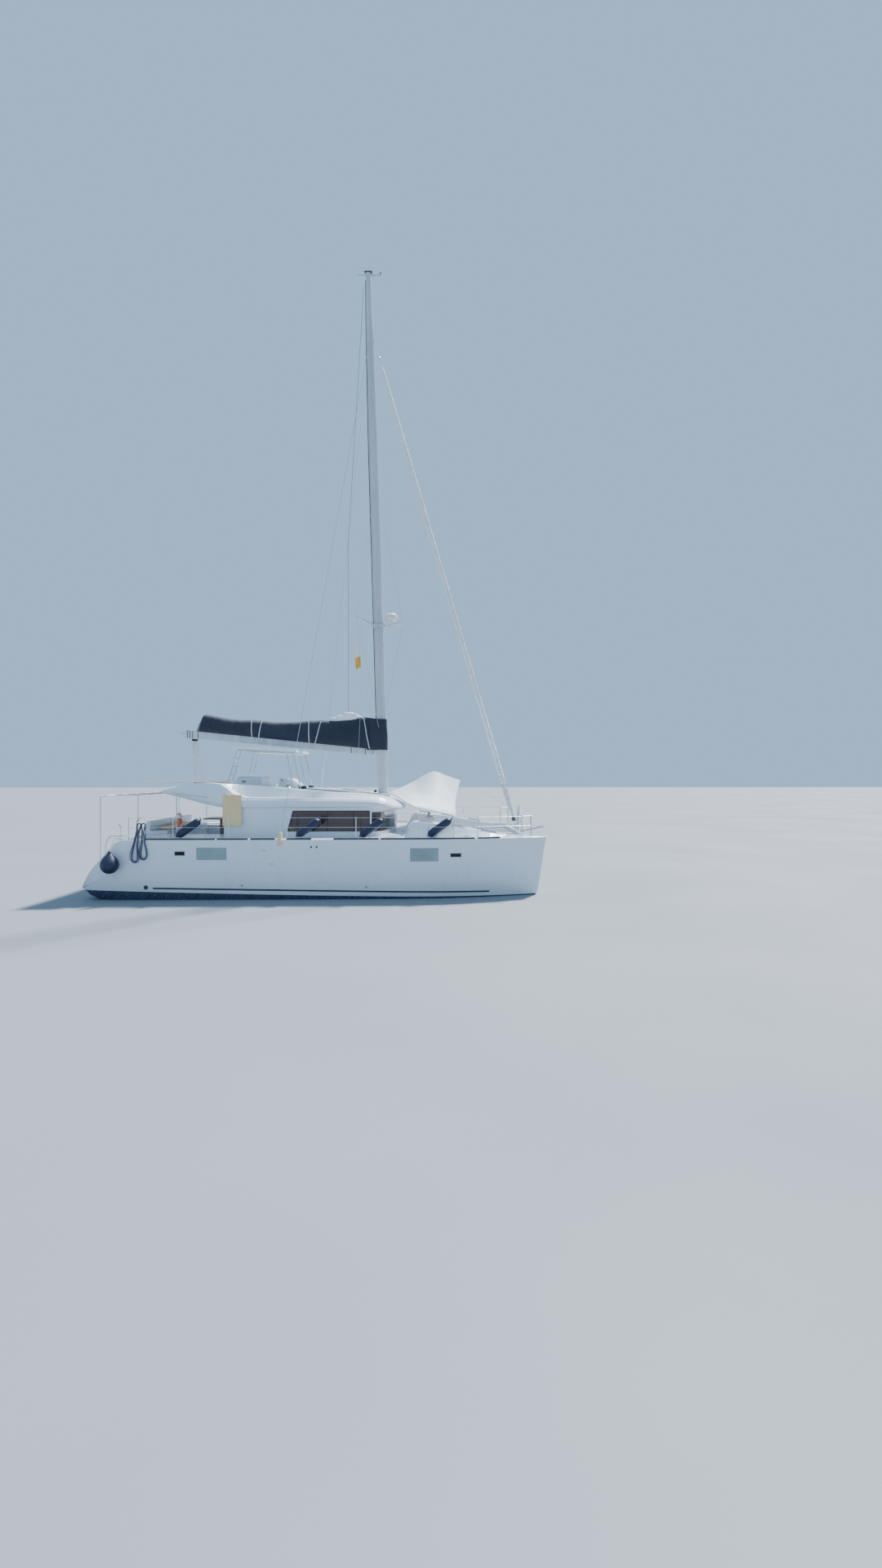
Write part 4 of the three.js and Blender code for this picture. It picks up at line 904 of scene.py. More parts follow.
STRIPE = ((-4.775, 0.345), (5.04, 0.165))  # x and z of its ends
HULL_WINDOWS = ((-3.50, -2.63, 1.17, 1.53), (2.68, 3.51, 1.105, 1.50))
PORTS = ((-4.13, -3.82, 1.29, 1.43), (3.85, 4.19, 1.215, 1.345))
PORT_INSET = 0.012  # from a port's outline to its pane
TOE_RAILS = ((-4.96, -2.96), (-2.92, -2.02), (-1.95, -1.24), (-0.90, -0.19), (0.45, 1.77),
             (1.82, 4.59), (4.68, 5.35))


def laid_on(o, node, thick, **ways):
    """Projects a flat patch onto a CAD node and thickens it outward."""
    shaped_by(o, "SHRINKWRAP", target=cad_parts[node], wrap_method="PROJECT",
              use_negative_direction=True, **ways)
    return smooth(shaped_by(o, "SOLIDIFY", thickness=thick, offset=1))


def on_side(name, side, start, end, height, thick, columns=8, rows=3):
    """A flat patch from start to end, each (x, z), wrapped onto the topside."""
    (x0, z0), (x1, z1) = start, end
    outboard = side * 4.2
    bpy.ops.mesh.primitive_grid_add(x_subdivisions=columns, y_subdivisions=rows, size=1,
                                    location=((x0 + x1) / 2, outboard, (z0 + z1) / 2))
    o = fresh(name)
    o.scale = (math.hypot(x1 - x0, z1 - z0), height, 1)
    o.rotation_euler = (side * -math.pi / 2, -math.atan2(z1 - z0, x1 - x0), 0)
    return laid_on(settle(o), hull_of(side), thick, use_project_y=True,
                   use_positive_direction=True)


def frame_round(name, side, x0, x1, z0, z1, width, thick):
    """Four strips round a window in the topside."""
    z = (z0 + z1) / 2
    return joined(name, [
        on_side(name, side, (x0 - width, edge), (x1 + width, edge), width, thick, 8, 1)
        for edge in (z1 + width / 2, z0 - width / 2)] + [
        on_side(name, side, (start, z), (end, z), z1 - z0, thick, 1, 4)
        for start, end in ((x0 - width, x0), (x1, x1 + width))])


class CATAMARAN_OT_topsides(bpy.types.Operator):
    """Stripe, windows, ports, vents and outlets on the topsides, and the toe rails"""
    bl_idname = "catamaran.topsides"
    bl_label = "Topsides"

    def execute(self, context):
        for word, side in SIDES:
            self.stripe(word, side)
            self.windows(word, side)
            self.fittings(word, side)
            self.toe_rails(word, side)
        return {"FINISHED"}

    def stripe(self, word, side):
        stripe = on_side(f"stripe_{word}", side, *STRIPE, sizes().stripe_width, 0.003, 90, 1)
        put(stripe, "slate_trim")

    def windows(self, word, side):
        for i, (x0, x1, z0, z1) in enumerate(HULL_WINDOWS, 1):
            z = (z0 + z1) / 2
            glass = on_side(f"hull_window_{word}_{i}", side, (x0, z), (x1, z), z1 - z0, 0.006,
                            10, 5)
            put(bevelled(glass, 0.003), "hull_glass")
            rim = frame_round(f"hull_window_rim_{word}_{i}", side, x0, x1, z0, z1, 0.014, 0.004)
            put(rim, "gelcoat")
        for i, (x0, x1, z0, z1) in enumerate(PORTS, 1):
            x0, x1 = x0 + PORT_INSET, x1 - PORT_INSET
            z0, z1 = z0 + PORT_INSET, z1 - PORT_INSET
            z = (z0 + z1) / 2
            pane = on_side(f"port_{word}_{i}", side, (x0, z), (x1, z), z1 - z0, 0.007, 6, 3)
            put(pane, "port_glass")
            rim = frame_round(f"port_rim_{word}_{i}", side, x0, x1, z0, z1, 0.024, 0.012)
            put(bevelled(rim, 0.003), "white_plastic")

    def fittings(self, word, side):
        parts = []
        for x, z in ((-1.59, 1.45), (-1.35, 1.05)):
            for k in range(3):
                xk, zk = x + 0.03 * k, z + 0.03 * (1 - k)
                parts.append(on_side("louvre", side, (xk - 0.085, zk), (xk + 0.065, zk),
                                     0.010, 0.014, 4, 1))
        put(joined(f"vents_{word}", parts), "white_plastic")
        parts = []
        for x, z, r in ((-0.19, 1.54, 0.028), (-0.03, 1.54, 0.028), (-4.975, 0.372, 0.062),
                        (-2.2, 0.42, 0.02), (1.4, 0.36, 0.02)):
            profile = [(0, -0.02), (r, -0.02), (r, 0.008), (r * 0.86, 0.014),
                       (r * 0.7, 0.010), (r * 0.62, 0.004), (0, 0.003)]
            parts.append(spun("outlet", profile, (x, side_y(x, z, side), z), (0, side, 0), 20))
        put(joined(f"outlets_{word}", parts), "slate_trim")
        x, y = -1.10, side * 3.76
        sleeve = spun(f"shroud_sleeve_{word}", [
            (0.0, 0.235), (0.022, 0.232), (0.040, 0.215), (0.056, 0.17), (0.062, 0.10),
            (0.060, 0.03), (0.066, 0.0), (0.058, -0.006), (0.0, -0.006)],
            (x, y, DECK - 0.035), steps=20)
        put(sleeve, "curtain_cloth")
        flap = on_side(f"shroud_flap_{word}", side, (x - 0.075, 1.668), (x + 0.075, 1.668),
                       0.165, 0.014, 5, 6)
        put(bevelled(flap, 0.005), "curtain_cloth")

    def toe_rails(self, word, side):
        parts = []
        height = sizes().toe_rail
        for x0, x1 in TOE_RAILS:
            count = max(3, round((x1 - x0) / 0.2))
            xs = [x0 + (x1 - x0) * k / count for k in range(count + 1)]
            points = [(x, side_y(x, 1.735, side) - side * 0.035, 1.755 + height / 2) for x in xs]
            parts.append(bar("rail", points, height, 0.03))
        put(joined(f"toe_rail_{word}", parts), "slate_trim")


def between(rows, x):
    """The columns of a table at x, on a smooth curve through its rows."""
    k = max([i for i in range(len(rows) - 1) if rows[i][0] <= x] or [0])
    t = min(1.0, max(0.0, (x - rows[k][0]) / (rows[k + 1][0] - rows[k][0])))
    near = [rows[max(0, min(len(rows) - 1, k + j))] for j in (-1, 0, 1, 2)]
    return [0.5 * (2 * b + (c - a) * t + (2 * a - 5 * b + 4 * c - d) * t * t
                   + (3 * b - a - 3 * c + d) * t ** 3) for a, b, c, d in zip(*near)][1:]


def ease(t):
    t = min(1.0, max(0.0, t))
    return t * t * (3 - 2 * t)


# Sail bag: x, half width, height above the boom's underside
BAG = ((-4.72, 0.09, 0.56), (-4.56, 0.19, 0.84), (-3.4, 0.225, 0.80), (-2.2, 0.235, 0.825),
       (-1.0, 0.245, 0.95), (0.2, 0.25, 1.11), (1.18, 0.235, 1.285))
# Half section from the foot to the zip: share of the half width, share of the height
BAG_SECTION = ((0.0, 0.0), (0.62, 0.0), (0.80, 0.03), (1.0, 0.22), (1.02, 0.40), (0.88, 0.66),
               (0.60, 0.88), (0.28, 0.985), (0.0, 1.0))
BAG_SECTION = [(i / (len(BAG_SECTION) - 1), *row) for i, row in enumerate(BAG_SECTION)]
BAG_SLANT = 0.18  # how far the zip's aft end stands forward of the foot
BAG_STRAPS = ((-4.69, -4.69), (-2.79, -2.76), (-2.44, -2.56), (-0.85, -0.82), (-0.42, -0.66),
              (0.97, 1.27))  # x at the top, x at the foot


def bag_point(x, share, side, lift=0.0):
    """A point on the bag: share 0 is the foot of its section, 1 the zip."""
    half, height = between(BAG, x)
    low = boom_top(x) + 0.002
    high = boom_under(x) + height
    wide, up = between(BAG_SECTION, share)
    gap = min(abs(x - (top + (foot - top) * (1 - share))) for top, foot in BAG_STRAPS)
    free = ease(gap / 0.45)
    body = math.sin(math.pi * min(1.0, max(0.0, share)))
    swell = 1 + 0.045 * free * body - 0.05 * (1 - ease(gap / 0.10)) * body
    sag = 0.030 * free * ease((share - 0.5) * 2)
    slump = noise.noise(Vector((x * 1.9, side * 3.0, share * 2.2))) * 0.016
    crease = noise.noise(Vector((x * 7.0 + share * 5.0, side * 7.0, share * 3.0))) * 0.009
    fold = math.sin(x * 21 + share * 9 + side) * 0.0035 * body * (0.4 + free)
    across = max(0.0, half * wide * swell + (slump + crease + fold) * body + lift * body)
    slant = BAG_SLANT * share * (1 - ease((x - BAG[0][0]) / 0.9))
    z = low + (high - low) * up - sag + 0.25 * slump * body
    return Vector((x + slant, side * across, z + (lift * (1 - body) if share > 0.5 else 0)))


class CATAMARAN_OT_sail_bag(bpy.types.Operator):
    """Canvas bag that holds the lowered mainsail on the boom, with its straps and lines"""
    bl_idname = "catamaran.sail_bag"
    bl_label = "Sail bag"

    def execute(self, context):
        first, last = BAG[0][0], BAG[-1][0]

        def place(u, v):
            return bag_point(first + (last - first) * u, abs(2 * v - 1), -1 if v < 0.5 else 1)

        bag = formed("sail_bag_canvas", 190, 56, place)
        put(smooth(closed_up(bag, 2e-4), 70), "canvas", "boom", ["sail_bag"])
        self.zip_and_straps()
        self.mast_collar()
        self.sail_fold()
        return {"FINISHED"}

    def zip_and_straps(self):
        count = 90
        xs = [BAG[0][0] + 0.06 + (BAG[-1][0] - BAG[0][0] - 0.1) * k / count
              for k in range(count + 1)]
        ridge = [bag_point(x, 1.0, 1) + UP * 0.004 for x in xs]
        put(line("bag_zip", ridge, 0.012), "canvas", "boom")
        wide = sizes().strap_width
        for word, side in SIDES:
            for i, (top, foot) in enumerate(BAG_STRAPS, 1):
                def place(u, v):
                    share = (0.97 if i in (1, 6) else 0.84) * (1 - u) + 0.13 * u
                    x = top + (foot - top) * u + (v - 0.5) * wide
                    return bag_point(x, share, side, 0.004)

                strap = thin_sheet(f"bag_strap_{word}_{i}", 26, 2, place, 0.003, degrees=60)
                put(strap, "webbing", "boom")
        cords = []
        for x0, x1, share in ((-4.66, -2.81, 0.86), (-2.44, -0.86, 0.90), (-0.42, 0.97, 0.92)):
            for side in (-1, 1):
                cords.append(line("edge", [bag_point(x0 + (x1 - x0) * k / 30, share, side, 0.006)
                                           for k in range(31)], 0.006))
        put(joined("bag_edge_lines", cords), "white_rope", "boom")

    def mast_collar(self):
        """The bag's front, wrapped round the mast and laced; its back reaches to the boom."""
        heights = [(up, wide) for _, wide, up in BAG_SECTION[1:]]

        def place(u, v):
            way = v * 2 * math.pi
            forward, across = math.cos(way), math.sin(way)
            z = 4.50 + 1.06 * u
            swell = 1 + 0.035 * math.sin(way * 5 + u * 6) * math.sin(math.pi * u)
            reach, half = 0.205 * swell, 0.155 * swell
            if forward < 0:
                reach = mast_x(z) - 1.08
                wide, = between(heights, (z - 4.536) / 1.083)
                half += (0.235 * wide + 0.018 - half) * ease(-1.5 * forward)
            y = math.copysign(abs(across) ** (1.0 if forward > 0 else 0.6), across) * half
            return Vector((mast_x(z) + reach * forward, y, z + 0.05 * u * ease(-forward)))

        collar = formed("bag_mast_collar", 26, 72, place, wrap=True)
        shaped_by(collar, "SOLIDIFY", thickness=0.006, offset=1)
        put_between(smooth(collar, 70), "canvas")

    def sail_fold(self):
        """Head of the sail that stands out of the open end of the bag."""
        bpy.ops.mesh.primitive_uv_sphere_add(segments=48, ring_count=26, radius=1,
                                             location=(0.42, 0, 5.60))
        fold = fresh("sail_head_fold")
        fold.scale = (0.55, 0.085, 0.165)
        fold.rotation_euler = (0, -0.10, 0)
        settle(fold)
        for vertex in fold.data.vertices:
            p = vertex.co
            peak = math.exp(-((p.x - 0.50) / 0.30) ** 2)
            if p.z > 5.60:
                p.z = 5.60 + (p.z - 5.60) * (0.45 + 0.85 * peak)
            p.y += 0.014 * math.sin(p.z * 60 + p.x * 3) * (1 if p.y > 0 else -1)
            p.z += 0.012 * noise.noise(Vector((p.x * 7, p.y * 9, 1.0)))
        put(smooth(fold, 80), "cloth", "boom")


ROLL_TURNS = 44
# Headsail roll: height, radius
ROLL = ((2.235, 0.040), (2.30, 0.052), (2.70, 0.083), (4.0, 0.088), (10.0, 0.080), (15.0, 0.060),
        (17.6, 0.044), (17.72, 0.020))


class CATAMARAN_OT_headsail(bpy.types.Operator):
    """Headsail rolled on the forestay, with its drum, swivel and sheets"""
    bl_idname = "catamaran.headsail"
    bl_label = "Headsail"

    def execute(self, context):
        first, last = ROLL[0][0], ROLL[-1][0]

        def place(u, v):
            z = first + (last - first) * u
            radius, = between(ROLL, z)
            turn = (u * ROLL_TURNS + v) % 1.0
            ridge = 0.10 * math.exp(-((turn - 0.5) / 0.10) ** 2) - 0.05 * turn
            lump = 0.07 * noise.noise(Vector((z * 1.7, v * 2, 0))) + 0.05 * noise.noise(
                Vector((z * 6, 4, v * 3)))
            reach = min(radius * (1 + ridge + lump), 0.094)
            return level(stay_at(z), reach, v * 2 * math.pi)

        roll = closed_up(formed("headsail_roll", 620, 26, place), 1e-5)
        put(smooth(roll, 80), "furled_cloth", stands_for=["headsail"])
        way = stay_at(3.0) - stay_at(2.0)
        foot = stay_at(2.06)
        drum = spun("furling_drum", [
            (0, 0), (0.093, 0), (0.094, 0.012), (0.060, 0.020), (0.056, 0.085), (0.094, 0.094),
            (0.094, 0.108), (0.040, 0.120), (0.034, 0.18), (0, 0.18)], foot, way)
        put(drum, "slate_trim")
        turns = [level(foot, 0.066, a / 3, 0.028 + 0.0019 * a) for a in range(28)]
        line_out = turns + [(6.05, -0.20, 1.95), (5.9, -0.32, 1.80)]
        put(line("furling_line", line_out, 0.005), "white_rope")
        stay = [rod("stay", stay_at(1.70), stay_at(2.07), 0.014),
                rod("stay", stay_at(17.70), stay_at(18.97), 0.010),
                spun("swivel", [(0, 0), (0.034, 0), (0.040, 0.03), (0.040, 0.10), (0.024, 0.13),
                                (0, 0.13)], stay_at(17.95), way, 20)]
        put(joined("forestay", stay), "stainless")
        for word, side in SIDES:
            wraps = [level(stay_at(3.35 - 0.02 * k), 0.098, side * k * 0.55) for k in range(30)]
            put(line(f"jib_sheet_{word}", wraps, sizes().line_radius), "white_rope")
        return {"FINISHED"}


class CATAMARAN_OT_nets(bpy.types.Operator):
    """Bow nets with their bolt ropes and lacings"""
    bl_idname = "catamaran.nets"
    bl_label = "Bow nets"

    def execute(self, context):
        x0, x1 = 3.475, 6.185
        cell = sizes().net_cell
        for word, side in SIDES:
            reach = {x: abs(inner_y(x, NET_TOP, side)) - 0.035
                     for x in [round(x0 + (x1 - x0) * k / 50, 4) for k in range(51)]}
            xs = sorted(reach)

            def outer(x):
                return min((abs(x - known), reach[known]) for known in xs)[1]

            columns = round((x1 - x0) / cell)
            rows = round(1.75 / cell)

            def place(u, v):
                x = x0 + (x1 - x0) * u
                inner = 0.20
                sag = 0.035 * math.sin(math.pi * u) * math.sin(math.pi * v)
                return Vector((x, side * (inner + (outer(x) - inner) * v), NET_TOP - sag))

            net = formed(f"net_mesh_{word}", columns, rows, place)
            shaped_by(net, "WIREFRAME", thickness=0.0065, use_replace=True,
                      use_even_offset=False)
            put(smooth(net, 60), "net_cord",
                stands_for=[f"trampoline_{word}"])
            rim = ([place(k / 40, 0) for k in range(41)] + [place(1, k / 24) for k in range(1, 25)]
                   + [place(1 - k / 40, 1) for k in range(1, 41)]
                   + [place(0, 1 - k / 24) for k in range(1, 24)])
            put(line(f"net_bolt_rope_{word}", rim, 0.010, closed=True), "white_rope")
            lace = []
            for k, p in enumerate(rim):
                lace.append(p)
                out = Vector((0.028 if p.x > 6.15 else -0.024 if p.x < 3.5 else 0,
                              side * (0.028 if abs(p.y) > 0.3 else -0.024), 0.0))
                if 3.5 < p.x < 6.15 or abs(p.y) > 0.25:
                    lace.append((p + rim[(k + 1) % len(rim)]) / 2 + out)
            put(line(f"net_lacing_{word}", lace, 0.0035, closed=True, detail=1),
                "white_rope")
        return {"FINISHED"}


def bent(points):
    """A function of u from 0 to 1 along a smooth line through the points."""
    route = rounded(points, 12)

    def at(u):
        k = min(len(route) - 2, int(u * (len(route) - 1)))
        return route[k].lerp(route[k + 1], u * (len(route) - 1) - k)

    return at


class CATAMARAN_OT_awnings(bpy.types.Operator):
    """Awnings over the stern and the foredeck, and the side curtain"""
    bl_idname = "catamaran.awnings"
    bl_label = "Awnings"

    def execute(self, context):
        self.stern()
        self.foredeck()
        self.curtain()
        return {"FINISHED"}

    def stern(self):
        def pole(x):
            return 3.012 + 0.0703 * (x + 6.43)

        half_aft, half_front = 3.435, 2.92

        def place(u, v):
            y = -1 + 2 * v
            aft = -6.455 + 0.16 * (1 - y * y)  # the middle of the aft edge is pulled in
            front = -4.872 - 0.47 * max(0.0, (abs(y) - 0.845) / 0.155)  # so are the front corners
            x = aft + (front - aft) * u
            half = half_aft + (half_front - half_aft) * ease((x + 5.36) / 0.49) if x > -5.36 else (
                half_aft - 0.06 * (x + 6.46) / 1.1)
            slack = 0.05 * math.sin(math.pi * u) * (1 - y ** 6) + 0.012 * math.sin(
                y * 26) * (1 - u) * (1 - abs(y) ** 8)
            ripple = 0.010 * noise.noise(Vector((x * 2.2, y * 7, 3)))
            return Vector((x, y * half, pole(x) - slack + ripple))

        cover = thin_sheet("stern_awning_cloth", 44, 120, place, 0.004)
        put(cover, "cloth", stands_for=["stern_awning"])
        hem = line("stern_awning_hem", [place(0, k / 60) for k in range(61)], 0.010)
        put(hem, "cloth")

    def foredeck(self):
        ridge = bent([(1.95, 0, 3.045), (2.66, 0, 3.37), (3.37, 0, 3.755), (3.87, 0, 3.615),
                      (4.355, 0, 3.45)])
        aft, front = (2.86, 2.5, 2.645), (4.15, 1.5, 2.285)

        def edge(side):
            return bent([(aft[0], side * aft[1], aft[2]), (3.46, side * 1.88, 2.49),
                         (front[0], side * front[1], front[2])])

        edges = {side: edge(side) for side in (-1, 1)}

        def place(u, v):
            side = -1 if v < 0.5 else 1
            s = abs(2 * v - 1)
            top, low = ridge(u), edges[side](u)
            p = top.lerp(low, s)
            hollow = 4 * s * (1 - s)
            p.z -= hollow * (0.075 + 0.03 * math.sin(math.pi * u))
            pull = hollow * (1 - 2 * u)
            p.x += 0.10 * pull * abs(1 - 2 * u)
            p.z += 0.012 * noise.noise(Vector((p.x * 2.5, p.y * 2.5, 5))) * hollow
            p.z += 0.010 * math.sin(s * 9 + u * 22) * hollow * ease((u - 0.5) * 2)
            return p

        tent = thin_sheet("foredeck_awning_cloth", 60, 96, place, 0.004)
        put(tent, "cloth", stands_for=["foredeck_awning"])
        ties = []
        for side in (-1, 1):
            ties += [((front[0], side * front[1], front[2]),
                      (4.67, side * (HULL_MIDDLE + 0.61), RAIL_TOP - 0.03), 0.005),
                     ((aft[0], side * aft[1], aft[2]),
                      (2.95, side * (HULL_MIDDLE + 0.77), RAIL_TOP), 0.005),
                     ((4.355, 0, 3.45), (6.30, side * 0.09, 2.42), 0.004)]
        ties += [((3.37, 0, 3.76), (2.2, 0, 8.6), 0.004),
                 ((1.95, 0, 3.045), (1.86, 0, 3.10), 0.006)]
        lines = [line("tie", (start, end), radius) for start, end, radius in ties]
        put(joined("foredeck_awning_lines", lines), "white_rope")

    def curtain(self):
        def place(u, v):
            x = -2.975 + 0.57 * u
            fold = 0.5 + 0.5 * math.sin(u * 2 * math.pi * 5.5 + 0.6 * math.sin(v * 3))
            out = 0.010 + (0.004 + 0.010 * (1 - v)) * fold
            return Vector((x, -2.992 - out * (0.35 if v > 0.97 else 1), 2.10 + 0.93 * v))

        cloth_piece = thin_sheet("side_curtain_cloth", 90, 40, place, 0.0025)
        put(cloth_piece, "curtain_cloth", stands_for=["side_curtain"])
        hem = [block("hem", (-2.977, -3.012, 3.008), (-2.403, -2.992, 3.034), 0.004),
               block("hem", (-2.977, -3.020, 2.10), (-2.403, -2.994, 2.125), 0.004)]
        put(joined("side_curtain_hems", hem), "curtain_cloth")


FENDERS = (-3.79, -0.31, 1.55, 3.545)  # x of their middles
FENDER_WAY = Vector((0.8115, 0, 0.5843))  # along a stowed fender
FENDER_EYE = 0.43  # from a fender's middle
WIRE_REACH = 0.45  # an eye is tied to each wire of the rail that is nearer in height


class CATAMARAN_OT_fenders(bpy.types.Operator):
    """Fenders stowed on the starboard rail, and the ball fender at the stern"""
    bl_idname = "catamaran.fenders"
    bl_label = "Fenders"

    def execute(self, context):
        profile = [(0, -0.437), (0.016, -0.437), (0.022, -0.425), (0.022, -0.412),
                   (0.036, -0.402), (0.070, -0.378), (0.097, -0.345), (0.111, -0.30),
                   (0.114, -0.25), (0.1145, -0.12)]
        for k in range(7):
            profile += [(0.1145, -0.112 + 0.036 * k), (0.1118, -0.104 + 0.036 * k),
                        (0.1145, -0.096 + 0.036 * k)]
        profile += [(r, -h) for r, h in reversed(profile[:10])]
        for i, x in enumerate(FENDERS, 1):
            low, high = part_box(f"fender_{i}")
            middle = (low + high) / 2
            middle.z = DECK - 0.004 + 0.115 + 0.32 * FENDER_WAY.z
            middle.x = x
            o = spun(f"fender_{i}_body", profile, middle, FENDER_WAY, 32)
            put(o, "fender_vinyl", stands_for=[f"fender_{i}"])
            ties = self.ties(middle + FENDER_WAY * FENDER_EYE, middle.y - 0.128)
            ties += self.ties(middle - FENDER_WAY * FENDER_EYE, middle.y - 0.128)
            put(joined(f"fender_{i}_lashings", ties), "dark_rope")
        self.ball()
        return {"FINISHED"}

    def ties(self, end, wire_y):
        """An eye at a fender's end, and its ties to the wires of the rail."""
        made = [line("eye", around(end, UP * 0.020, AHEAD * 0.020), 0.007, closed=True)]
        for wire_z in (RAIL_TOP, RAIL_MIDDLE):
            if abs(end.z - wire_z) < WIRE_REACH:
                knot = Vector((end.x + 0.02, wire_y, wire_z))
                route = rounded([end, (end + knot) / 2 - UP * 0.02, knot], 4)
                made.append(line("tie", route, 0.006))
                made += [line("turn", around(knot + AHEAD * (0.010 * j), TO_PORT * 0.011,
                                             UP * 0.011), 0.005, closed=True)
                         for j in (-1, 0, 1)]
        return made

    def ball(self):
        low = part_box("ball_fender")[0]
        middle = Vector((-5.89, low.y + 0.255, 1.063))
        profile = [(0, -0.254), (0.055, -0.251)]
        profile += [(0.255 * math.cos(a), 0.255 * math.sin(a))
                    for a in [math.radians(d) for d in range(-70, 35, 9)]]
        profile += [(0.196, 0.173), (0.150, 0.228), (0.105, 0.273), (0.068, 0.314), (0.052, 0.341),
                    (0.050, 0.369), (0.042, 0.380), (0, 0.380)]
        put(spun("ball_fender_body", profile, middle, steps=40), "fender_vinyl",
            stands_for=["ball_fender"])
        top = middle + UP * 0.365
        eye = around(top + UP * 0.02, UP * 0.022, AHEAD * 0.022)
        ties = [line("eye", eye, 0.008, closed=True),
                line("tie", [top + UP * 0.03, (-5.86, -3.70, 1.86)], 0.008),
                line("tie", [top + UP * 0.03, (-5.72, -3.70, 1.86)], 0.006)]
        put(joined("ball_fender_lines", ties), "white_rope")


ROPE = 0.018
HANK_Z = 2.18  # height where the turns bend over at the top
HANK_BEND = 0.0545  # radius of that bend
HANK_Y = -3.797  # where the innermost turn passes over
HANK_STEP = 0.019  # from one turn to the next outside it
HANK_FAN = 0.006  # along the rail, from one turn's top to the next
HANK_TOPS = (-5.135, -5.0075)  # x of each lobe's top
HANK_LOBES = (-5.2435, -5.000)  # x of each lobe's foot
HANK_WIDTHS = ((0.106, 0.066, 0.094, 0.078, 0.112), (0.068, 0.112, 0.084, 0.100))
HANK_START = ((-5.11, -3.746, 2.388), (-5.14, -3.80, 2.375), (-5.175, -3.86, 2.31))
HANK_TAIL = ((-4.925, -3.885, 2.16), (-4.915, -3.912, 2.05), (-4.91, -3.925, 1.92),
             (-4.908, -3.926, 1.80))


def hank_top(lobe, layer):
    """Middle of a turn's bend over the top: x and y."""
    return HANK_TOPS[lobe] + HANK_FAN * (layer * 2 % 5 - 2), HANK_Y - HANK_STEP * layer


class CATAMARAN_OT_hank(bpy.types.Operator):
    """Mooring rope coiled and hung outside the starboard quarter rail"""
    bl_idname = "catamaran.hank"
    bl_label = "Rope hank"

    def execute(self, context):
        controls = [Vector(p) for p in HANK_START]
        turns = [(0, layer) for layer in (4, 3, 2, 1, 0)] + [(1, layer) for layer in (0, 1, 2, 3)]
        for n, (lobe, layer) in enumerate(turns):
            way = (-1, 1)[lobe]
            order = layer * 2 % 5
            top, y_top = hank_top(lobe, layer)
            low, y_low = HANK_LOBES[lobe], -3.850 - HANK_STEP * layer
            wide = HANK_WIDTHS[lobe][layer]
            z_low = (1.096, 1.177)[lobe] + 0.013 * order + wide
            for sign in (way, -way):
                x_high = top + 0.2 * (low - top) + sign * (0.011 + 0.011 * order)
                x_middle = top + 0.65 * (low - top) + sign * (0.011 + 0.3 * wide + 0.005 * order)
                leg = [Vector((top + sign * HANK_BEND, y_top, HANK_Z)),
                       Vector((x_high, (y_top + y_low) / 2, 1.98)),
                       Vector((x_middle, y_low, 1.66)),
                       Vector((low + sign * wide, y_low, z_low + 0.15))]
                controls += leg if sign == way else leg[::-1]
                if sign == way:
                    for degrees in (0, 45, 90, 135, 180):
                        a = math.radians(degrees)
                        controls.append(Vector((low + way * wide * math.cos(a), y_low,
                                                z_low - wide * math.sin(a))))
            next_lobe, next_layer = turns[n + 1] if n + 1 < len(turns) else (1, 4)
            x_next, y_next = hank_top(next_lobe, next_layer)
            start = top - way * HANK_BEND
            end = x_next + (-1, 1)[next_lobe] * HANK_BEND
            middle, reach = (start + end) / 2, (start - end) / 2
            for share in (0.25, 0.5, 0.75):
                a = math.pi * share
                controls.append(Vector((middle + reach * math.cos(a),
                                        y_top + (y_next - y_top) * share,
                                        HANK_Z + abs(reach) * math.sin(a))))
        route = rounded(controls + [Vector(p) for p in HANK_TAIL], 4)
        rope = path_of("mooring_rope", route)
        rope.data.bevel_depth = ROPE / 2
        rope.data.bevel_resolution = 2
        rope.data.use_fill_caps = True
        put(rope, "hank_rope", stands_for=["rope_hank"])
        strops = [line("strop", rounded([(x, y, z) for y, z in (
            (-3.718, 2.385), (-3.735, 2.404), (-3.83, 2.31), (-3.892, 2.27), (-3.90, 2.23),
            (-3.85, 2.215), (-3.79, 2.215), (-3.745, 2.32), (-3.718, 2.385))], 4), 0.005)
            for x in HANK_TOPS]
        put(joined("hank_strops", strops), "white_rope")
        return {"FINISHED"}


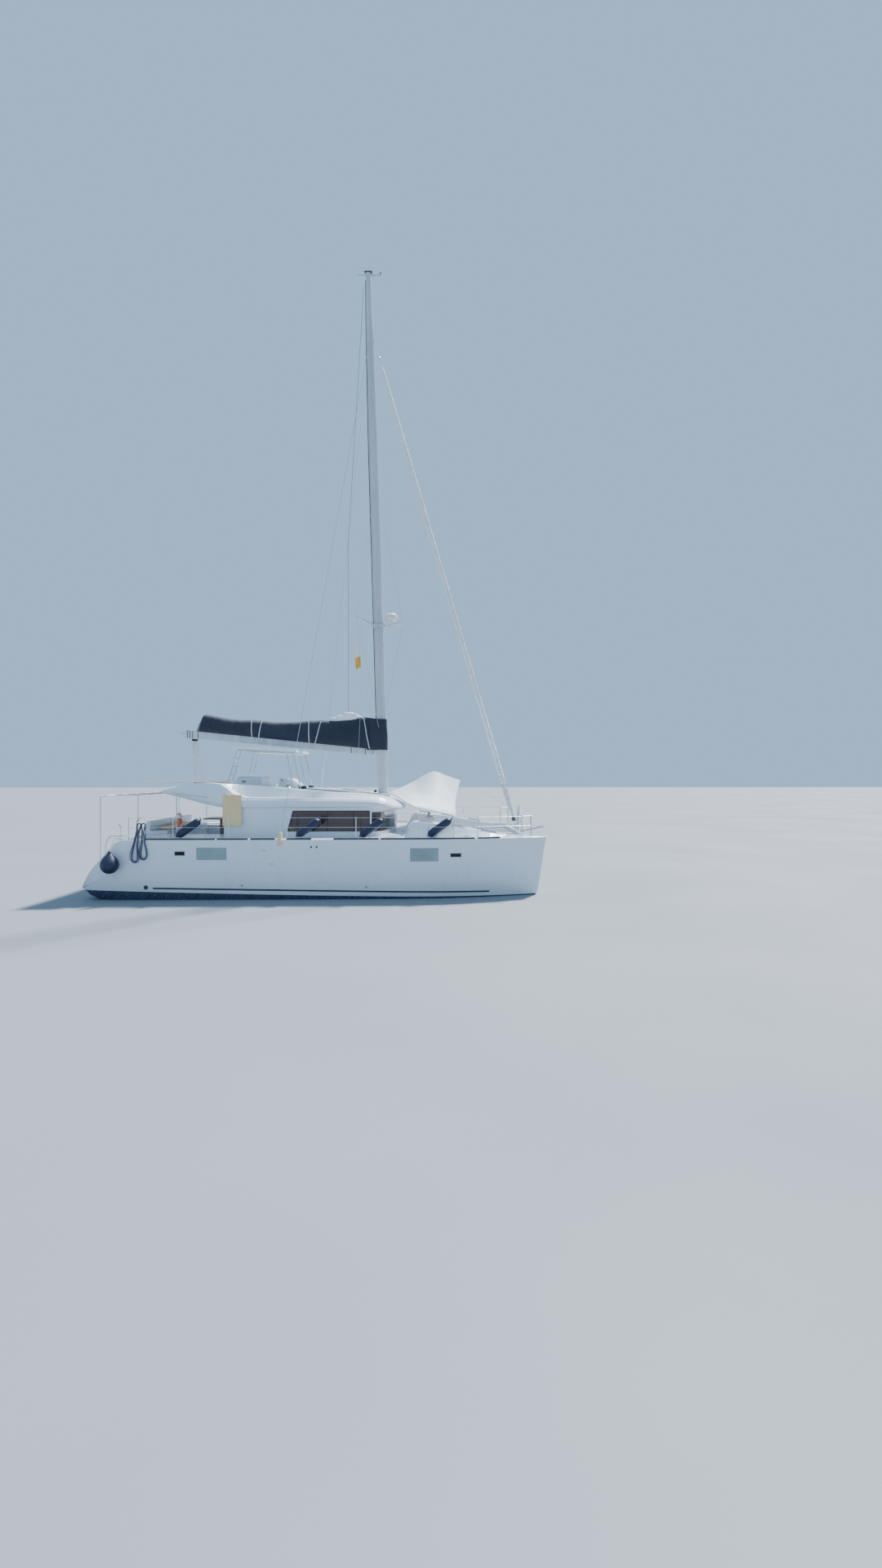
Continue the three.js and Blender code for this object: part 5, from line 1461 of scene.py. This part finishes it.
class CATAMARAN_OT_lifebuoy(bpy.types.Operator):
    """Ring lifebuoy on the starboard roof post"""
    bl_idname = "catamaran.lifebuoy"
    bl_label = "Lifebuoy"

    def execute(self, context):
        centre = Vector((-4.317, -2.85, 2.213))
        radius, angle = 0.210, math.radians(12)
        turn = Matrix.Rotation(angle, 3, "Z")
        bpy.ops.mesh.primitive_torus_add(location=centre, rotation=(0, math.pi / 2, angle),
                                         major_radius=radius, minor_radius=0.0555,
                                         major_segments=56, minor_segments=20)
        ring = settle(fresh("lifebuoy_ring"))
        put(smooth(ring), "buoy_foam", stands_for=["lifebuoy"])
        bands, cord_points = [], []
        for k in range(4):
            start = math.radians(45 + 90 * k - 13)
            profile = around(centre + UP * radius, AHEAD * 0.057, UP * 0.057, 20)
            o = as_mesh(path_of("band", profile, closed=True), "band")
            pick(o)
            bpy.ops.object.mode_set(mode="EDIT")
            bpy.ops.mesh.select_all(action="SELECT")
            bpy.ops.transform.rotate(value=start, orient_axis="X", center_override=centre)
            bpy.ops.mesh.spin(steps=8, angle=math.radians(26), center=centre, axis=(1, 0, 0))
            bpy.ops.mesh.normals_make_consistent(inside=False)
            bpy.ops.object.mode_set(mode="OBJECT")
            shaped_by(o, "SOLIDIFY", thickness=0.0012, offset=-1)
            for vertex in o.data.vertices:
                vertex.co = centre + turn @ (vertex.co - centre)
            bands.append(smooth(o))
            for j in range(9):
                a = math.radians(45 + 90 * k + 10 * j)
                out = 0.268 + 0.020 * math.sin(math.pi * j / 9)
                cord_points.append(centre + turn @ Vector((0.0, out * math.sin(a),
                                                           out * math.cos(a))))
        put(joined("lifebuoy_bands", bands), "reflective_tape")
        put(line("lifebuoy_grab_line", cord_points, 0.005, closed=True), "white_rope")
        bracket = [line("bracket", [(-4.392, -2.85, z + step * 0.05)]
                        + [(x, -2.85, z + step * dz) for x, dz in (
                            (-4.372, 0.005), (-4.317, -0.008), (-4.262, 0.005), (-4.249, 0.045))],
                        0.006) for z, step in ((2.490, -1), (1.936, 1))]
        put(joined("lifebuoy_bracket", bracket), "stainless")
        return {"FINISHED"}


# Hull half width at the deck edge, by x
DECK_EDGE = ((-6.8, 0.79), (-6.22, 0.85), (-5.66, 0.875), (-4.4, 0.896), (-2.5, 0.9), (2.45, 0.9),
             (3.5, 0.872), (4.8, 0.70), (5.6, 0.455), (6.2, 0.245), (6.43, 0.16), (6.8, 0.024))
STANCHIONS = (4.67, 3.96, 2.95, 1.10, -0.90, -2.60, -4.20, -5.48)


def on_top(name, node, middle, half, thick, parts=6):
    """A patch on a node, seen from above: its middle (x, y) and its half sizes."""
    above_all = 8
    bpy.ops.mesh.primitive_grid_add(x_subdivisions=parts, y_subdivisions=parts, size=1,
                                    location=(*middle, above_all))
    o = fresh(name)
    o.scale = (2 * half[0], 2 * half[1], 1)
    return laid_on(settle(o), node, thick, use_project_z=True, use_positive_direction=False)


CLOTH_FRAMES = 20


def swollen(o, cap, voxel=0.012, pressure=4.0):
    """Lets a pad's skin swell like stuffed cloth, by no more than cap."""
    shaped_by(o, "REMESH", mode="VOXEL", voxel_size=voxel)
    rest = [v.co.copy() for v in o.data.vertices]
    pick(o)
    bpy.ops.object.modifier_add(type="CLOTH")
    cloth_modifier = o.modifiers[-1]
    settings = cloth_modifier.settings
    settings.use_pressure = True
    settings.uniform_pressure_force = pressure
    settings.effector_weights.gravity = 0
    scene = bpy.context.scene
    for number in range(1, CLOTH_FRAMES + 1):
        scene.frame_set(number)
    bpy.ops.object.modifier_apply(modifier=cloth_modifier.name)
    scene.frame_set(1)
    for vertex, before in zip(o.data.vertices, rest):
        step = vertex.co - before
        if step.length > cap:
            vertex.co = before + step * (cap / step.length)
    return shaped_by(o, "SUBSURF", levels=1, render_levels=1)


def cushion(name, low, high, colour="cushion_vinyl"):
    """A stuffed pad with a crowned top, pulled-in sides and piping round its edge."""
    low, high = Vector(low), Vector(high)
    size = high - low
    swell = sizes().cushion_swell
    inset = Vector((swell, swell, swell)) * 0.7
    pad = block(name, low + inset, high - inset, min(size) * 0.3, 3)
    edited(pad, ("subdivide", {"number_cuts": 2, "smoothness": 0}))
    swollen(pad, swell)
    thin = min(range(3), key=lambda i: size[i])
    across = [i for i in range(3) if i != thin]
    middle = (low + high) / 2
    rim = []
    corner = 0.05
    reach = [size[i] / 2 - inset[i] * 0.4 - corner for i in across]
    for turn in range(4):
        sign = ((1, 1), (-1, 1), (-1, -1), (1, -1))[turn]
        for k in range(5):
            a = math.radians(90 * turn + 22.5 * k)
            p = middle.copy()
            p[across[0]] += sign[0] * reach[0] + corner * math.cos(a)
            p[across[1]] += sign[1] * reach[1] + corner * math.sin(a)
            p[thin] += size[thin] * 0.5 - inset[thin] * 1.5
            rim.append(p)
    put(smooth(pad, 60), colour)
    put(line(f"{name}_piping", rim, 0.005, closed=True), colour)


class CATAMARAN_OT_deck_gear(bpy.types.Operator):
    """Hatches, cleats, stanchion bases, quarter rails, roof seam and shaded groove, lid fittings
    and windlass
    """
    bl_idname = "catamaran.deck_gear"
    bl_label = "Deck gear"

    def execute(self, context):
        for word, side in SIDES:
            self.hatches(word, side)
            self.deck_edge(word, side)
            self.roof_lines(word, side)
        self.engine_lid_handles()
        self.windlass()
        return {"FINISHED"}

    def hatches(self, word, side):
        spots = [(f"hull_{word}", x, side * HULL_MIDDLE, half, min(half, 0.27))
                 for x, half in ((5.05, 0.27), (4.05, 0.30), (3.15, 0.24))]
        spots.append(("roof", 0.40, side * 1.30, 0.27, 0.27))
        for name, look, slot, inset, thick in (
                ("hatch_frames", "spar", "spar_alloy", 0, 0.022),
                ("hatch_panes", "port_glass", "tinted_glass", 0.035, 0.030)):
            parts = [on_top("patch", node, (x, y), (long - inset, wide - inset), thick)
                     for node, x, y, long, wide in spots]
            put(bevelled(joined(f"{name}_{word}", parts), 0.006), look)

    def deck_edge(self, word, side):
        node = f"hull_{word}"

        def inboard(x, gap):
            """The deck at x, a gap in from its edge."""
            y = side * (HULL_MIDDLE + between(DECK_EDGE, x)[0] - gap)
            return y, top_z(x, y, node)

        bases, cleats = [], []
        for x in STANCHIONS:
            y, z = inboard(x, 0.11)
            bases.append(spun("base", [(0, -0.01), (0.042, -0.01), (0.042, 0.006), (0.020, 0.016),
                                       (0.019, 0.075), (0.013, 0.078), (0, 0.078)], (x, y, z),
                              steps=18))
        for x in (-5.72, -0.60, 4.35, 5.62):
            y, z = inboard(x, 0.14)
            cleats.append(line("horn", rounded([(x - 0.13, y, z + 0.062), (x - 0.07, y, z + 0.050),
                                                (x, y, z + 0.048), (x + 0.07, y, z + 0.050),
                                                (x + 0.13, y, z + 0.062)], 3), 0.011))
            for dx in (-0.04, 0.04):
                cleats.append(rod("leg", (x + dx, y, z - 0.01), (x + dx * 0.8, y, z + 0.05), 0.013,
                                  0.010))
        put(joined(f"stanchion_bases_{word}", bases), "stainless")
        put(joined(f"cleats_{word}", cleats), "stainless")
        y = side * 3.70
        rail = [(-6.15, top_z(-6.15, y, node) - 0.01), (-6.13, 1.66), (-6.01, 1.845),
                (-5.81, 1.86), (-5.61, 1.86), (-5.51, 1.835),
                (-5.48, top_z(-5.48, y, node) - 0.01)]
        rail = rounded([(x, y, z) for x, z in rail], 5)
        put(line(f"quarter_rail_{word}", rail, 0.0125), "stainless")
        if side < 0:
            x = -5.71
            staff = [rod("staff", (x, y, top_z(x, y, node) - 0.01), (x, y, 2.10), 0.011),
                     rod("lamp", (x, y, 2.09), (x - 0.05, y, 2.20), 0.022)]
            put(joined("stern_light", staff), "white_plastic")

    def roof_lines(self, word, side):
        seam = [Vector((-2.31 + 2.41 * k / 20, side * 2.9925, 2.925 - 0.035 * k / 20))
                for k in range(21)]
        put(line(f"roof_seam_{word}", seam, 0.006), "spar")
        # Painted shade: a grey tube stands for the shade in the moulded groove along the roof's
        # side
        shaded_groove = [Vector((x, side * 2.9925, z)) for x, z in ((-4.50, 3.095), (-3.95, 3.02),
                                                             (-3.40, 2.952))]
        put(line(f"roof_groove_{word}", rounded(shaded_groove, 4), 0.009), "spar")

    def engine_lid_handles(self):
        for word, _ in SIDES:
            low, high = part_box(f"engine_hatch_{word}")
            y = (low.y + high.y) / 2
            ring = spun("ring", [(0, -0.002), (0.045, -0.002), (0.045, 0.004), (0.034, 0.006),
                                 (0.030, 0.001), (0, 0.001)], (high.x - 0.14, y, high.z), steps=22)
            parts = [ring] + [block("hinge", (low.x + 0.015, y + d - 0.04, high.z - 0.002),
                                    (low.x + 0.075, y + d + 0.04, high.z + 0.007), 0.003)
                              for d in (-0.22, 0.22)]
            put(joined(f"engine_lid_fittings_{word}", parts), "stainless",
                f"engine_hatch_{word}")

    def windlass(self):
        x, y = 3.28, 0.0
        z = top_z(x, y, "bridgedeck")
        parts = [block("base", (x - 0.13, y - 0.10, z - 0.01), (x + 0.13, y + 0.10, z + 0.05),
                       0.02, 3),
                 spun("drum", [(0, 0), (0.075, 0), (0.078, 0.012), (0.045, 0.035), (0.045, 0.075),
                               (0.078, 0.095), (0.078, 0.107), (0.03, 0.12), (0, 0.12)],
                      (x, y, z + 0.05), steps=26)]
        put(joined("windlass", parts), "stainless")


class CATAMARAN_OT_deckhouse_trim(bpy.types.Operator):
    """Gaskets and posts of the saloon windows, and the frame of the saloon door"""
    bl_idname = "catamaran.deckhouse_trim"
    bl_label = "Deckhouse trim"

    def execute(self, context):
        for word, side in SIDES:
            y = side * (HOUSE_SIDE + 0.002)
            rim = [(-1.055, y, 1.925), (-0.885, y, 2.545), (1.435, y, 2.545), (1.435, y, 1.925)]
            put(line(f"window_gasket_{word}", rim, 0.011, closed=True), "rubber")
            y -= side * 0.008
            seams = [rod("seam", (x, y, 1.925), (x + dx, y, 2.545), 0.009)
                     for x, dx in ((0.15, 0.02), (0.94, 0.01))]
            put(joined(f"window_seams_{word}", seams), "rubber")
        low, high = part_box("saloon_door")
        wide = 0.055
        bars = ((low.y, high.y, low.z, low.z + wide), (low.y, high.y, high.z - wide, high.z),
                (low.y, low.y + wide, low.z, high.z), (high.y - wide, high.y, low.z, high.z))
        parts = [block("frame", (low.x + 0.0015, y0, z0), (low.x + 0.0445, y1, z1), 0.004)
                 for y0, y1, z0, z1 in bars]
        put(joined("saloon_door_frame", parts), "spar", "saloon_door")
        return {"FINISHED"}


class CATAMARAN_OT_flybridge(bpy.types.Operator):
    """Helm seat pads, console hood and instruments, control lines, clutches and roof winches"""
    bl_idname = "catamaran.flybridge"
    bl_label = "Flybridge"

    def execute(self, context):
        self.seat()
        self.console()
        self.control_lines()
        for i, (x, y) in enumerate(((-2.62, -1.85), (-2.05, 1.62), (-1.28, -1.55)), 1):
            self.winch(i, x, y)
        return {"FINISHED"}

    def seat(self):
        low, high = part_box("helm_seat")
        for name, x0, x1, proud, fill in (("helm_seat_cushion", -2.82, -2.31, 0.022, 0.75),
                                          ("helm_backrest", -3.10, -2.84, 0.035, 0.8)):
            cushion(name, (x0, low.y + 0.06, high.z - 0.05), (x1, high.y - 0.06, high.z + proud))

    def control_lines(self):
        """Lines led aft over the roof from the foot of the mast to the helm."""
        ways = (-0.66, -0.80, -0.93, -1.07, -1.20, 0.75, 0.90)
        clutches = []
        for i, y in enumerate(ways):
            points = []
            for k in range(25):
                x = 1.42 - 2.45 * k / 24
                start = math.copysign(0.12 + 0.03 * (i % 3), y)
                across = start + (y - start) * ease(k / 16)
                points.append(Vector((x, across, top_z(x, across, "roof", 3.4) + 0.012)))
            look = "white_rope" if i % 2 else "dark_rope"
            put(line(f"control_line_{i + 1}", points, 0.0065), look)
            z = top_z(-0.92, y, "roof", 3.4)
            clutches.append(block("clutch", (-1.0, y - 0.022, z - 0.01),
                                  (-0.84, y + 0.022, z + 0.075), 0.012, 2))
        put(joined("rope_clutches", clutches), "rubber")
        blocks = [spun("block", [(0, -0.02), (0.034, -0.02), (0.042, -0.01), (0.028, 0),
                                 (0.042, 0.01), (0.034, 0.02), (0, 0.02)],
                       (1.42, y, 3.085), (0, 1, 0), 18) for y in (-0.18, -0.12, 0.12, 0.18)]
        put(joined("mast_foot_blocks", blocks), "rubber")

    def console(self):
        foot, rise = 3.28, 0.24
        hood = block("console_hood", (-1.62, -0.42, foot), (-1.08, 0.42, foot + rise), 0.05, 4)
        pick(hood)
        for vertex in hood.data.vertices:
            share = (vertex.co.z - foot) / rise
            vertex.co.x += -0.10 * share if vertex.co.x < -1.35 else -0.26 * share
        put(smooth(hood), "gelcoat")
        screens = [block("screen", (-1.725, y0, z0), (-1.700, y1, z1), 0.006)
                   for y0, y1, z0, z1 in ((-0.34, -0.06, 3.36, 3.50), (0.02, 0.14, 3.38, 3.48),
                                          (0.18, 0.30, 3.38, 3.48))]
        put(joined("console_screens", screens), "port_glass")
        lever = [rod("lever", (-1.70, 0.36, 3.33), (-1.78, 0.36, 3.45), 0.008),
                 spun("knob", [(0, -0.02), (0.014, -0.012), (0.018, 0), (0.014, 0.012), (0, 0.02)],
                      (-1.785, 0.36, 3.46), steps=14)]
        put(joined("throttle_lever", lever), "stainless")

    def winch(self, i, x, y):
        z = top_z(x, y, "roof", 3.6)
        drum = spun(f"winch_{i}", [
            (0, -0.01), (0.085, -0.01), (0.088, 0.02), (0.066, 0.035), (0.052, 0.055),
            (0.050, 0.11), (0.064, 0.135), (0.070, 0.14), (0.068, 0.165), (0.045, 0.175),
            (0.018, 0.178), (0.018, 0.168), (0, 0.168)], (x, y, z), steps=30)
        put(drum, "stainless")
        turns = [level(Vector((x, y, z)), 0.060, k * 0.7, 0.062 + 0.0018 * k) for k in range(27)]
        put(line(f"winch_rope_{i}", turns, 0.006), "dark_rope")


class CATAMARAN_OT_mast_gear(bpy.types.Operator):
    """Sail track, diamond wires, halyards, deck light, masthead gear and turnbuckles"""
    bl_idname = "catamaran.mast_gear"
    bl_label = "Mast gear"

    def execute(self, context):
        track = line("sail_track", [(mast_x(z) - 0.1705 * mast_scale(z) - 0.004, 0, z) for z in
                                    (4.75, 7.0, 9.7, 12.5, 15.5, 17.5, 19.0, 20.7)], 0.014)
        put(track, "slate_trim")
        wires = []
        for side in (-1, 1):
            for tip, dx, heights in (((0.84, side * 0.85, 8.92), -0.02, (13.4, 4.9)),
                                     ((2.37, side * 0.26, 8.85), 0.05, (13.8, 5.4))):
                wires += [rod("wire", tip, (mast_x(z) + dx, side * 0.10 * mast_scale(z), z),
                              0.004, sides=6) for z in heights]
        put(joined("diamond_wires", wires), "stainless")
        halyards = []
        for dx, y, foot in ((-0.19, 0.05, 3.3), (-0.195, -0.05, 3.3), (0.02, -0.125, 3.15),
                            (0.08, -0.125, 3.15), (0.06, 0.125, 3.15)):
            points = []
            for z in (foot, 4.2, 5.5, 7, 8.4, 9.6, 12, 15, 18, 19.5):
                sway = 0.004 * math.sin(z * 0.6 + y * 40)
                points.append((mast_x(z) + dx * mast_scale(z) + sway, y * mast_scale(z), z))
            halyards.append(line("halyard", points, 0.005, detail=1))
        put(joined("halyards", halyards), "white_rope")
        x = mast_x(8.17) + 0.165
        light = [block("bracket", (x - 0.01, -0.02, 8.12), (x + 0.05, 0.02, 8.19), 0.005),
                 spun("lamp", [(0, -0.05), (0.045, -0.05), (0.052, -0.01), (0.035, 0.05),
                               (0, 0.055)], (x + 0.085, 0, 8.17), (0.5, 0, 1), 20)]
        put(joined("deck_light", light), "white_plastic")
        self.masthead()
        for word, side in SIDES:
            foot, top = Vector((-1.10, side * 3.76, 1.85)), Vector((1.235, side * 0.04, 18.70))
            way = (top - foot).normalized()
            start = foot + way * 0.16
            profile = [(0, 0), (0.010, 0), (0.011, 0.05), (0.017, 0.06), (0.018, 0.23),
                       (0.011, 0.24), (0.010, 0.33), (0, 0.33)]
            put(spun(f"turnbuckle_{word}", profile, start, way, 14), "stainless")
        return {"FINISHED"}

    def masthead(self):
        z = 20.86
        x = mast_x(z)
        parts = [line("arm", [(x + 0.05, 0, z), (x + 0.42, 0, z + 0.03)], 0.007),
                 line("arm", [(x - 0.05, 0, z), (x - 0.36, 0, z + 0.02)], 0.006),
                 rod("vane", (x + 0.42, 0, z - 0.02), (x + 0.42, 0, z + 0.10), 0.006),
                 spun("cups", [(0, 0.0), (0.028, 0.0), (0.028, 0.022), (0, 0.022)],
                      (x + 0.42, 0, z + 0.085), steps=14),
                 block("cap", (x - 0.13, -0.06, 20.955), (x + 0.14, 0.06, 20.995), 0.01)]
        put(joined("masthead_gear", parts), "slate_trim")


class CATAMARAN_OT_running_rigging(bpy.types.Operator):
    """Mainsheet with its blocks and track, bands on the boom, its brace and the main halyard"""
    bl_idname = "catamaran.running_rigging"
    bl_label = "Running rigging"

    def execute(self, context):
        ropes, upper, lower = [], [], []
        for i, y in enumerate((-0.18, -0.06, 0.06, 0.18)):
            top = Vector((-4.80 + 0.03 * i, y * 0.4, boom_under(-4.74) - 0.05))
            foot = Vector((-4.65 + 0.055 * i, y * 1.6, top_z(-4.58, y, "roof", 3.6) + 0.10))
            ropes.append(line("rope", [top.lerp(foot, k / 12) for k in range(13)], 0.009))
            upper.append(self.pulley(top))
            lower.append(self.pulley(foot))
        put_between(joined("mainsheet", ropes), "tan_rope")
        put(joined("mainsheet_upper_blocks", upper), "rubber", "boom")
        z = top_z(-4.58, 0.0, "roof", 3.6)
        put(block("mainsheet_track", (-4.61, -0.60, z - 0.01), (-4.55, 0.60, z + 0.03), 0.006),
            "stainless")
        put(joined("mainsheet_lower_blocks", lower), "rubber")
        bands = [block("band", (x - 0.012, -0.099, boom_under(x) - 0.004),
                       (x + 0.012, 0.099, boom_top(x) + 0.004), 0.004)
                 for x in (-4.98, -4.90, -4.80, -4.62, 0.60, 1.08)]
        put(joined("boom_bands", bands), "rubber", "boom")
        top = Vector((-0.30, 0, boom_under(-0.30) - 0.01))
        foot = Vector((-0.62, -0.30, top_z(-0.62, -0.30, "roof") + 0.03))
        brace = line("boom_brace", [top.lerp(foot, k / 12) for k in range(13)], 0.006)
        put_between(brace, "white_rope")
        head, middle, top = (Vector((x, 0, z)) for x, z in (
            (0.50, 5.78), (0.48, 11.5), (1.02, 20.5)))
        route = [top.lerp(middle, k / 20) for k in range(20)]
        route += [middle.lerp(head, k / 16) for k in range(17)]
        put_between(line("main_halyard", route, 0.006), "dark_rope")
        return {"FINISHED"}

    def pulley(self, place):
        return spun("pulley", [(0, -0.016), (0.030, -0.016), (0.038, -0.008), (0.026, 0),
                               (0.038, 0.008), (0.030, 0.016), (0, 0.016)], place, (0, 1, 0), 18)


class CATAMARAN_OT_flags(bpy.types.Operator):
    """Two small plain flags on a line under the starboard spreader"""
    bl_idname = "catamaran.flags"
    bl_label = "Flags"

    def execute(self, context):
        y = -0.80
        hoist = [(0.86, y, 8.90), (1.02, y - 0.02, 7.0), (0.9, -1.2, 3.2)]
        put(line("flag_line", hoist, 0.003), "white_rope")
        for name, top, foot, fly in (("pennant", 8.30, 7.62, 0.42), ("flag", 7.60, 7.24, 0.20)):
            def place(u, v):
                z = top + (foot - top) * v
                x0 = 0.86 + 0.16 * (8.90 - z) / 1.9
                reach = fly * (0.25 + 0.75 * v) if name == "pennant" else fly
                droop = 0.10 * u * u
                wave = 0.030 * math.sin(u * 7 + v * 4) * u
                return Vector((x0 - reach * u * (0.92 - 0.1 * v), y + wave, z - droop))

            o = thin_sheet(f"{name}_cloth", 20, 20, place, 0.001, threshold=1e-5)
            put(o, f"{name}_cloth")
        return {"FINISHED"}


class CATAMARAN_OT_seating(bpy.types.Operator):
    """Pads of the cockpit bench"""
    bl_idname = "catamaran.seating"
    bl_label = "Seating"

    def execute(self, context):
        z = top_z(-5.2, 0.0, "bridgedeck", 2.6)
        for i in range(3):
            y = -1.50 + i * 1.02
            cushion(f"cockpit_cushion_{i + 1}", (-5.44, y, z - 0.004), (-4.98, y + 0.98, z + 0.09),
                    colour="curtain_cloth")
        return {"FINISHED"}


CLASSES = (CatamaranColours, CatamaranSizes)
STEPS = (CATAMARAN_OT_stage, CATAMARAN_OT_finishes, CATAMARAN_OT_topsides,
         CATAMARAN_OT_sail_bag, CATAMARAN_OT_headsail, CATAMARAN_OT_nets, CATAMARAN_OT_awnings,
         CATAMARAN_OT_fenders, CATAMARAN_OT_hank, CATAMARAN_OT_lifebuoy, CATAMARAN_OT_deck_gear,
         CATAMARAN_OT_deckhouse_trim, CATAMARAN_OT_flybridge, CATAMARAN_OT_mast_gear,
         CATAMARAN_OT_running_rigging, CATAMARAN_OT_flags, CATAMARAN_OT_seating)


class CATAMARAN_PT_panel(bpy.types.Panel):
    """Lists the catamaran's pieces and its sizes and colours"""
    bl_idname = "CATAMARAN_PT_panel"
    bl_label = "Catamaran"
    bl_space_type = "VIEW_3D"
    bl_region_type = "UI"
    bl_category = "Catamaran"

    def draw(self, context):
        column = self.layout.column()
        for group in (context.scene.catamaran_colours, context.scene.catamaran_sizes):
            for name in group.__annotations__:
                column.prop(group, name)
        for step in STEPS:
            column.operator(step.bl_idname)


def register():
    for made in (*CLASSES, *STEPS, CATAMARAN_PT_panel):
        bpy.utils.register_class(made)
    bpy.types.Scene.catamaran_colours = bpy.props.PointerProperty(type=CatamaranColours)
    bpy.types.Scene.catamaran_sizes = bpy.props.PointerProperty(type=CatamaranSizes)


def unregister():
    del bpy.types.Scene.catamaran_sizes
    del bpy.types.Scene.catamaran_colours
    for made in reversed((*CLASSES, *STEPS, CATAMARAN_PT_panel)):
        bpy.utils.unregister_class(made)


def main():
    register()
    for step in STEPS:
        getattr(bpy.ops.catamaran, step.bl_idname.split(".")[1])()


if __name__ == "__main__":
    main()
